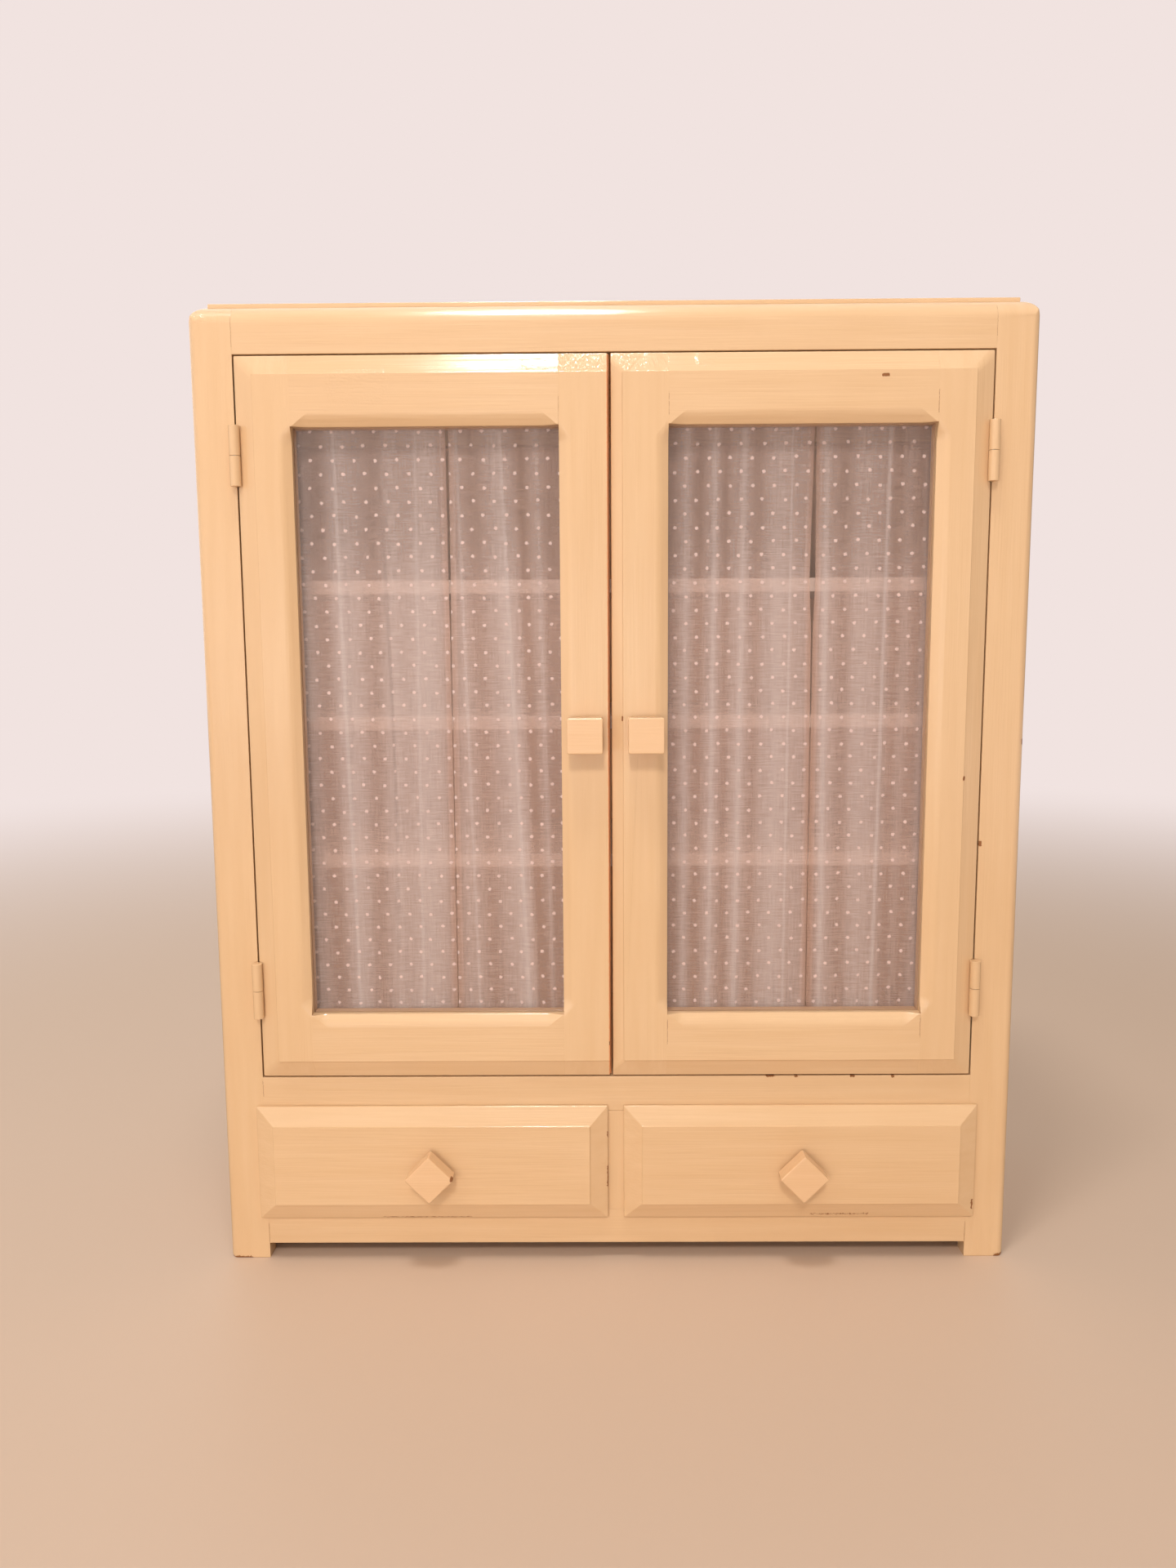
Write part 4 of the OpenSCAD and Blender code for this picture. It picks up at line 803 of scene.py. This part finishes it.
s = spots
cabinetBody = frame["nodes"]["back_panel"]["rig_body"]
leafHoles = [(y, z + dz) for z in s["hingeZ"] for y, dz in s["leafHoles"]]
for side, sign in sides.items():
    fasteners(f"{side}_door_hinge_screws", f"{side}_door", "hingeScrew",
              [((sign * s["doorLeafX"], y, z), (sign, 0, 0)) for y, z in leafHoles],
              upright)
    fasteners(f"{side}_catch_plate_screws", f"{side}_door", "smallScrew",
              [((sign * x, s["plateY"], s["plateZ"]), (0, 1, 0)) for x in s["plateX"]],
              zincSteel)
fasteners("frame_hinge_screws", cabinetBody, "hingeScrew",
          [((sign * openingX, y, z), (-sign, 0, 0)) for sign in (-1, 1) for y, z in leafHoles],
          upright)
fasteners("shelf_cleat_screws", cabinetBody, "smallScrew",
          [((sign * s["cleatX"], y, z), (-sign, 0, 0)) for sign in (-1, 1)
           for z in s["cleatZ"] for y in s["cleatY"]], zincSteel)
nailRows = [(x, z) for x in np.linspace(-s["nailRowX"], s["nailRowX"], s["rowNails"])
            for z in s["nailRowsZ"]]
nailColumns = [(sign * s["nailColumnX"], z) for z in np.linspace(*s["columnZ"], s["columnNails"])
               for sign in (-1, 1)]
fasteners("back_panel_nails", cabinetBody, "pin",
          [((x, s["nailY"], z), (0, 1, 0)) for x, z in nailRows + nailColumns],
          zincSteel)
print("screws and nails are in")

# Curtains of sheer cloth, gathered on a rod at the top and at the foot. Lengths are in mm
curtain = {
    "rodLow": 218.7, "rodHigh": 741.8, "rodY": frontY + 22, "loop": 2.75, "stitch": 7.0,
    "thickness": 0.22, "columns": 190, "rows": 120, "loopRows": 14,
    # wavelength, sway and depth of the folds, widest first
    "folds": ((38.0, 1.2, 2.4), (17.0, 0.25, 0.9), (8.3, 0.05, 0.4), (6.1, 0.05, 1.0)),
    # The folds set in freeFrom off the rods and are full after another freeLow at the foot
    # and freeHigh at the top. The pleats at the rods take pleatOver to set in
    "freeFrom": 6, "freeLow": 95, "freeHigh": 120, "pleatFrom": -2, "pleatOver": 14,
    "freePleats": 0.7, "rodPleats": 0.9,  # depth of the third folds where free, and at rods
    "wander": 0.018, "wanderSlant": 5, "evenness": 0.65, "unevenEvery": 0.37,
    "unevenSlant": 1.3, "hemStiffness": 0.35, "leanShare": 0.5,
    # split is the half gap between two panels at these heights. Beside it the cloth is moved
    # over a width of edgeReach, and it curls back into the cabinet by curl times the gap
    "splitAt": (218, 430, 560, 606, 741), "edgeReach": 30, "curl": 0.9,
    "fromRods": 18,  # the height over which the cloth comes from a rod's side to its middle
    "panels": {
        "left": [{"x": (-273.2, -141.3), "seed": 4, "lean": 4.0, "open": (0, -1),
                  "split": (0.0, 0.0, 0.1, 0.7, 1.0)},
                 {"x": (-140.7, -38.2), "seed": 9, "lean": -3.0, "open": (1, 0),
                  "split": (0.0, 0.0, 0.1, 0.7, 1.0)}],
        "right": [{"x": (38.2, 170.7), "seed": 15, "lean": 3.0, "open": (0, -1),
                   "split": (0.0, 0.0, 0.4, 2.2, 0.2)},
                  {"x": (171.3, 273.2), "seed": 22, "lean": -2.5, "open": (1, 0),
                   "split": (0.0, 0.0, 0.4, 2.2, 0.2)}],
    },
    # Where folds lie over each other (+) or the cloth hangs stretched (-), which also places the
    # painted light on the folds and the painted shade in the valleys: x at the top and at the
    # foot, half width and strength
    "gathers": {
        "left": [(-238, -229, 1.5, 0.7), (-236, -226, 9, 0.45), (-254, -246, 10, -0.55),
                 (-190, -192, 6, 0.35), (-206, -210, 9, -0.4), (-160, -166, 13, 0.55),
                 (-168, -172, 1.4, 0.45), (-142, -141, 6, -0.75), (-134, -121, 1.5, 0.6),
                 (-122, -106, 9, -0.45), (-101, -77, 7, 0.65), (-97, -76, 1.5, 0.6),
                 (-80, -64, 6, -0.7), (-66, -55, 2.0, 0.4), (-52, -50, 9, -0.6)],
        "right": [(50, 52, 5, -0.5), (63, 60, 3, 0.5), (74, 70, 6, -0.6), (87, 83, 2.6, 0.8),
                  (96, 95, 5, -0.5), (112, 106, 3, 0.8), (124, 118, 6, -0.4),
                  (142, 139, 10, 0.5), (152, 150, 1.1, 0.7), (171, 172, 5, -0.9),
                  (181, 183, 3, 0.8), (196, 200, 8, -0.4), (214, 214, 8, 0.3),
                  (235, 229, 1.6, 0.9), (243, 240, 6, -0.5), (262, 254, 7, -0.5)],
    },
    "leastGather": -1.2, "mostGather": 1,
    "paintedShadeFrom": 614, "paintedShadeOver": 90,  # over the highest shelf the cloth lets more light through, so that the dark inside shows: a painted shade
    "casing": 26, "casingEdge": 1.5,   # the doubled cloth round each rod, along the cloth
}


def smooth(t):
    t = np.clip(t, 0, 1)
    return t * t * (3 - 2 * t)


def clothPath():
    # The path in y and z: half circles round the rods, a straight run between them, and the
    # stitched ends behind it
    c = curtain
    turn = math.pi * np.linspace(0, 1, c["loopRows"])
    under = turn[::-1] + math.pi  # round under the lower rod, from back to front
    low = np.stack([np.cos(under), np.sin(under)], 1) * c["loop"] + [0, c["rodLow"]]
    high = np.stack([-np.cos(turn), np.sin(turn)], 1) * c["loop"] + [0, c["rodHigh"]]
    run = np.linspace(0, 1, c["rows"])[1:-1, None]
    straight = low[-1] * (1 - run) + high[0] * run
    start = low[0] + [[0, c["stitch"]], [0, c["stitch"] * 0.4]]
    end = high[-1] - [[0, c["stitch"] * 0.4], [0, c["stitch"]]]
    return np.concatenate([start, low, straight, high, end])


def curtainPanel(name, body, node, panel):
    # u runs across the panel and v along the cloth from the stitching of the lower casing,
    # round the lower rod, up the curtain, round the upper rod and down to its stitching.
    # Across, x = x0 + W u + sum a sin(2 (2 pi f u + p) + q) and y = rod + sum b sin(2 pi f u
    # + p): wide folds in the middle of the height, fine pleats at the rods
    c = curtain
    draw = np.random.default_rng(panel["seed"])
    x0, x1 = panel["x"]
    wide = x1 - x0
    u = np.linspace(0, 1, c["columns"] + 1)[:, None]
    path = clothPath()
    stepped = np.concatenate([[0], np.cumsum(np.linalg.norm(np.diff(path, axis=0), axis=1))])
    y, z = path[:, 0][None, :], path[:, 1][None, :]

    # 0 at the rods and 1 where the folds hang free
    above, below = z - c["rodLow"], c["rodHigh"] - z
    free = (smooth((above - c["freeFrom"]) / c["freeLow"])
            * smooth((below - c["freeFrom"]) / c["freeHigh"]))
    pleat = (smooth((above - c["pleatFrom"]) / c["pleatOver"])
             * smooth((below - c["pleatFrom"]) / c["pleatOver"]) * (1 - free))
    height = above / (c["rodHigh"] - c["rodLow"])
    drift = panel["lean"] / wide * (height - 0.5)

    x = x0 + wide * u + np.zeros_like(z)
    outY = np.zeros_like(x)
    inner = np.sin(math.pi * u) ** c["hemStiffness"]  # the side hems stay where they are
    shares = (free, free, free * c["freePleats"] + pleat * c["rodPleats"], pleat)
    for (wavelength, sway, depth), share in zip(c["folds"], shares):
        folds = wide / wavelength
        phase, phase2, turned = draw.uniform(0, 2 * math.pi, 3)
        rate = draw.uniform(0.8, 1.2)
        wander = c["wander"] * np.sin(2 * math.pi * rate * height + turned + c["wanderSlant"] * u)
        swing = 2 * math.pi * folds * (u + drift + wander) + phase
        uneven = c["evenness"] + (1 - c["evenness"]) * np.sin(
            2 * math.pi * folds * c["unevenEvery"] * u + phase2 + c["unevenSlant"] * height)
        x = x + share * inner * sway * uneven * np.sin(2 * swing + phase2)
        outY = outY + share * inner * depth * uneven * np.sin(swing)
    x = x + panel["lean"] * free * (1 - 2 * np.abs(u - 0.5)) * c["leanShare"]
    # The edges at the split part by the half gap and curl back into the cabinet
    gap = np.interp(z, c["splitAt"], panel["split"])
    nearLow = np.clip(1 - wide * u / c["edgeReach"], 0, 1)
    nearHigh = np.clip(1 - wide * (1 - u) / c["edgeReach"], 0, 1)
    openLow, openHigh = panel["open"]
    x = x + gap * (openLow * nearLow + openHigh * nearHigh)
    parting = abs(openLow) * nearLow ** 3 + abs(openHigh) * nearHigh ** 3
    outY = outY + c["curl"] * gap * parting * free
    off = np.clip(above / c["fromRods"], 0, 1) * np.clip(below / c["fromRods"], 0, 1)
    step = np.arange(len(path))
    y = np.where((step > 1) & (step < len(path) - 2), y * (1 - smooth(off)), y)
    y = c["rodY"] + y + outY
    z = z + np.zeros_like(x)

    columns, rows = x.shape
    co = np.stack([x, y, z], axis=2).reshape(-1, 3) * mm
    index = np.arange(columns * rows).reshape(columns, rows)
    quads = np.stack([index[:-1, :-1], index[1:, :-1], index[1:, 1:], index[:-1, 1:]], 2)
    mesh = bpy.data.meshes.new(name)
    mesh.from_pydata(co, [], quads.reshape(-1, 4).tolist())

    # The cloth's flat width is the mean length of its rows in the middle third
    middle = slice(rows // 3, 2 * rows // 3)
    steps = np.sqrt(np.diff(x, axis=0) ** 2 + np.diff(y, axis=0) ** 2)
    flatWidth = steps[:, middle].sum(axis=0).mean()
    flatX = np.concatenate([np.zeros((1, rows)), np.cumsum(steps, axis=0)])
    flatX = flatX / flatX[-1] * flatWidth
    flatMap = np.stack([flatX + 40 * panel["seed"], np.zeros((columns, 1)) + stepped[None, :]], 2)
    flatMap = flatMap.reshape(-1, 2) * mm
    corner = np.empty(len(mesh.loops), int)
    mesh.loops.foreach_get("vertex_index", corner)
    mesh.uv_layers.new(name="flatCloth").data.foreach_set("uv", flatMap[corner].ravel())
    # gathered = sum of strength exp(-((x - centre) / half width)^2)
    # Above the highest shelf: a painted shade, made by letting more light through the cloth
    paintedShadeAbove = smooth((z - c["paintedShadeFrom"]) / c["paintedShadeOver"] + 0.5)
    gathered = np.zeros_like(x)
    for top, foot, half, strength in c["gathers"][node.split("_")[0]]:
        centre = foot + (top - foot) * height
        gathered = gathered + strength * np.exp(-((x - centre) / half) ** 2)
    hem = 1 - smooth(np.minimum(flatX, flatWidth - flatX) - voile["hem"] + 0.5)
    fromEnd = np.minimum(stepped, stepped[-1] - stepped)[None, :]
    casing = 1 - smooth((fromEnd - c["casing"]) / c["casingEdge"])
    for label, value in (("gathered", np.clip(gathered, c["leastGather"], c["mostGather"])),
                         ("paintedShadeAbove", paintedShadeAbove), ("hemShare", np.maximum(hem, casing))):
        mesh.attributes.new(label, "FLOAT", "POINT").data.foreach_set(
            "value", value.ravel().astype(np.float32))
    smoothAll(mesh)
    mesh.materials.append(cloth)
    made = addObject(name, mesh)
    wall = made.modifiers.new("cloth", "SOLIDIFY")
    wall.thickness, wall.offset = c["thickness"] * mm, 0
    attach(made, body)
    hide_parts(node)
    print(f"{name}: flat {flatWidth:.0f} by {stepped[-1]:.0f} mm, hangs {wide:.0f} mm wide")


for side in sides:
    for place, panel in zip(("first", "second"), curtain["panels"][side]):
        curtainPanel(f"{side}_curtain_{place}_panel", f"{side}_door", f"{side}_curtain", panel)
print("curtains are hung")
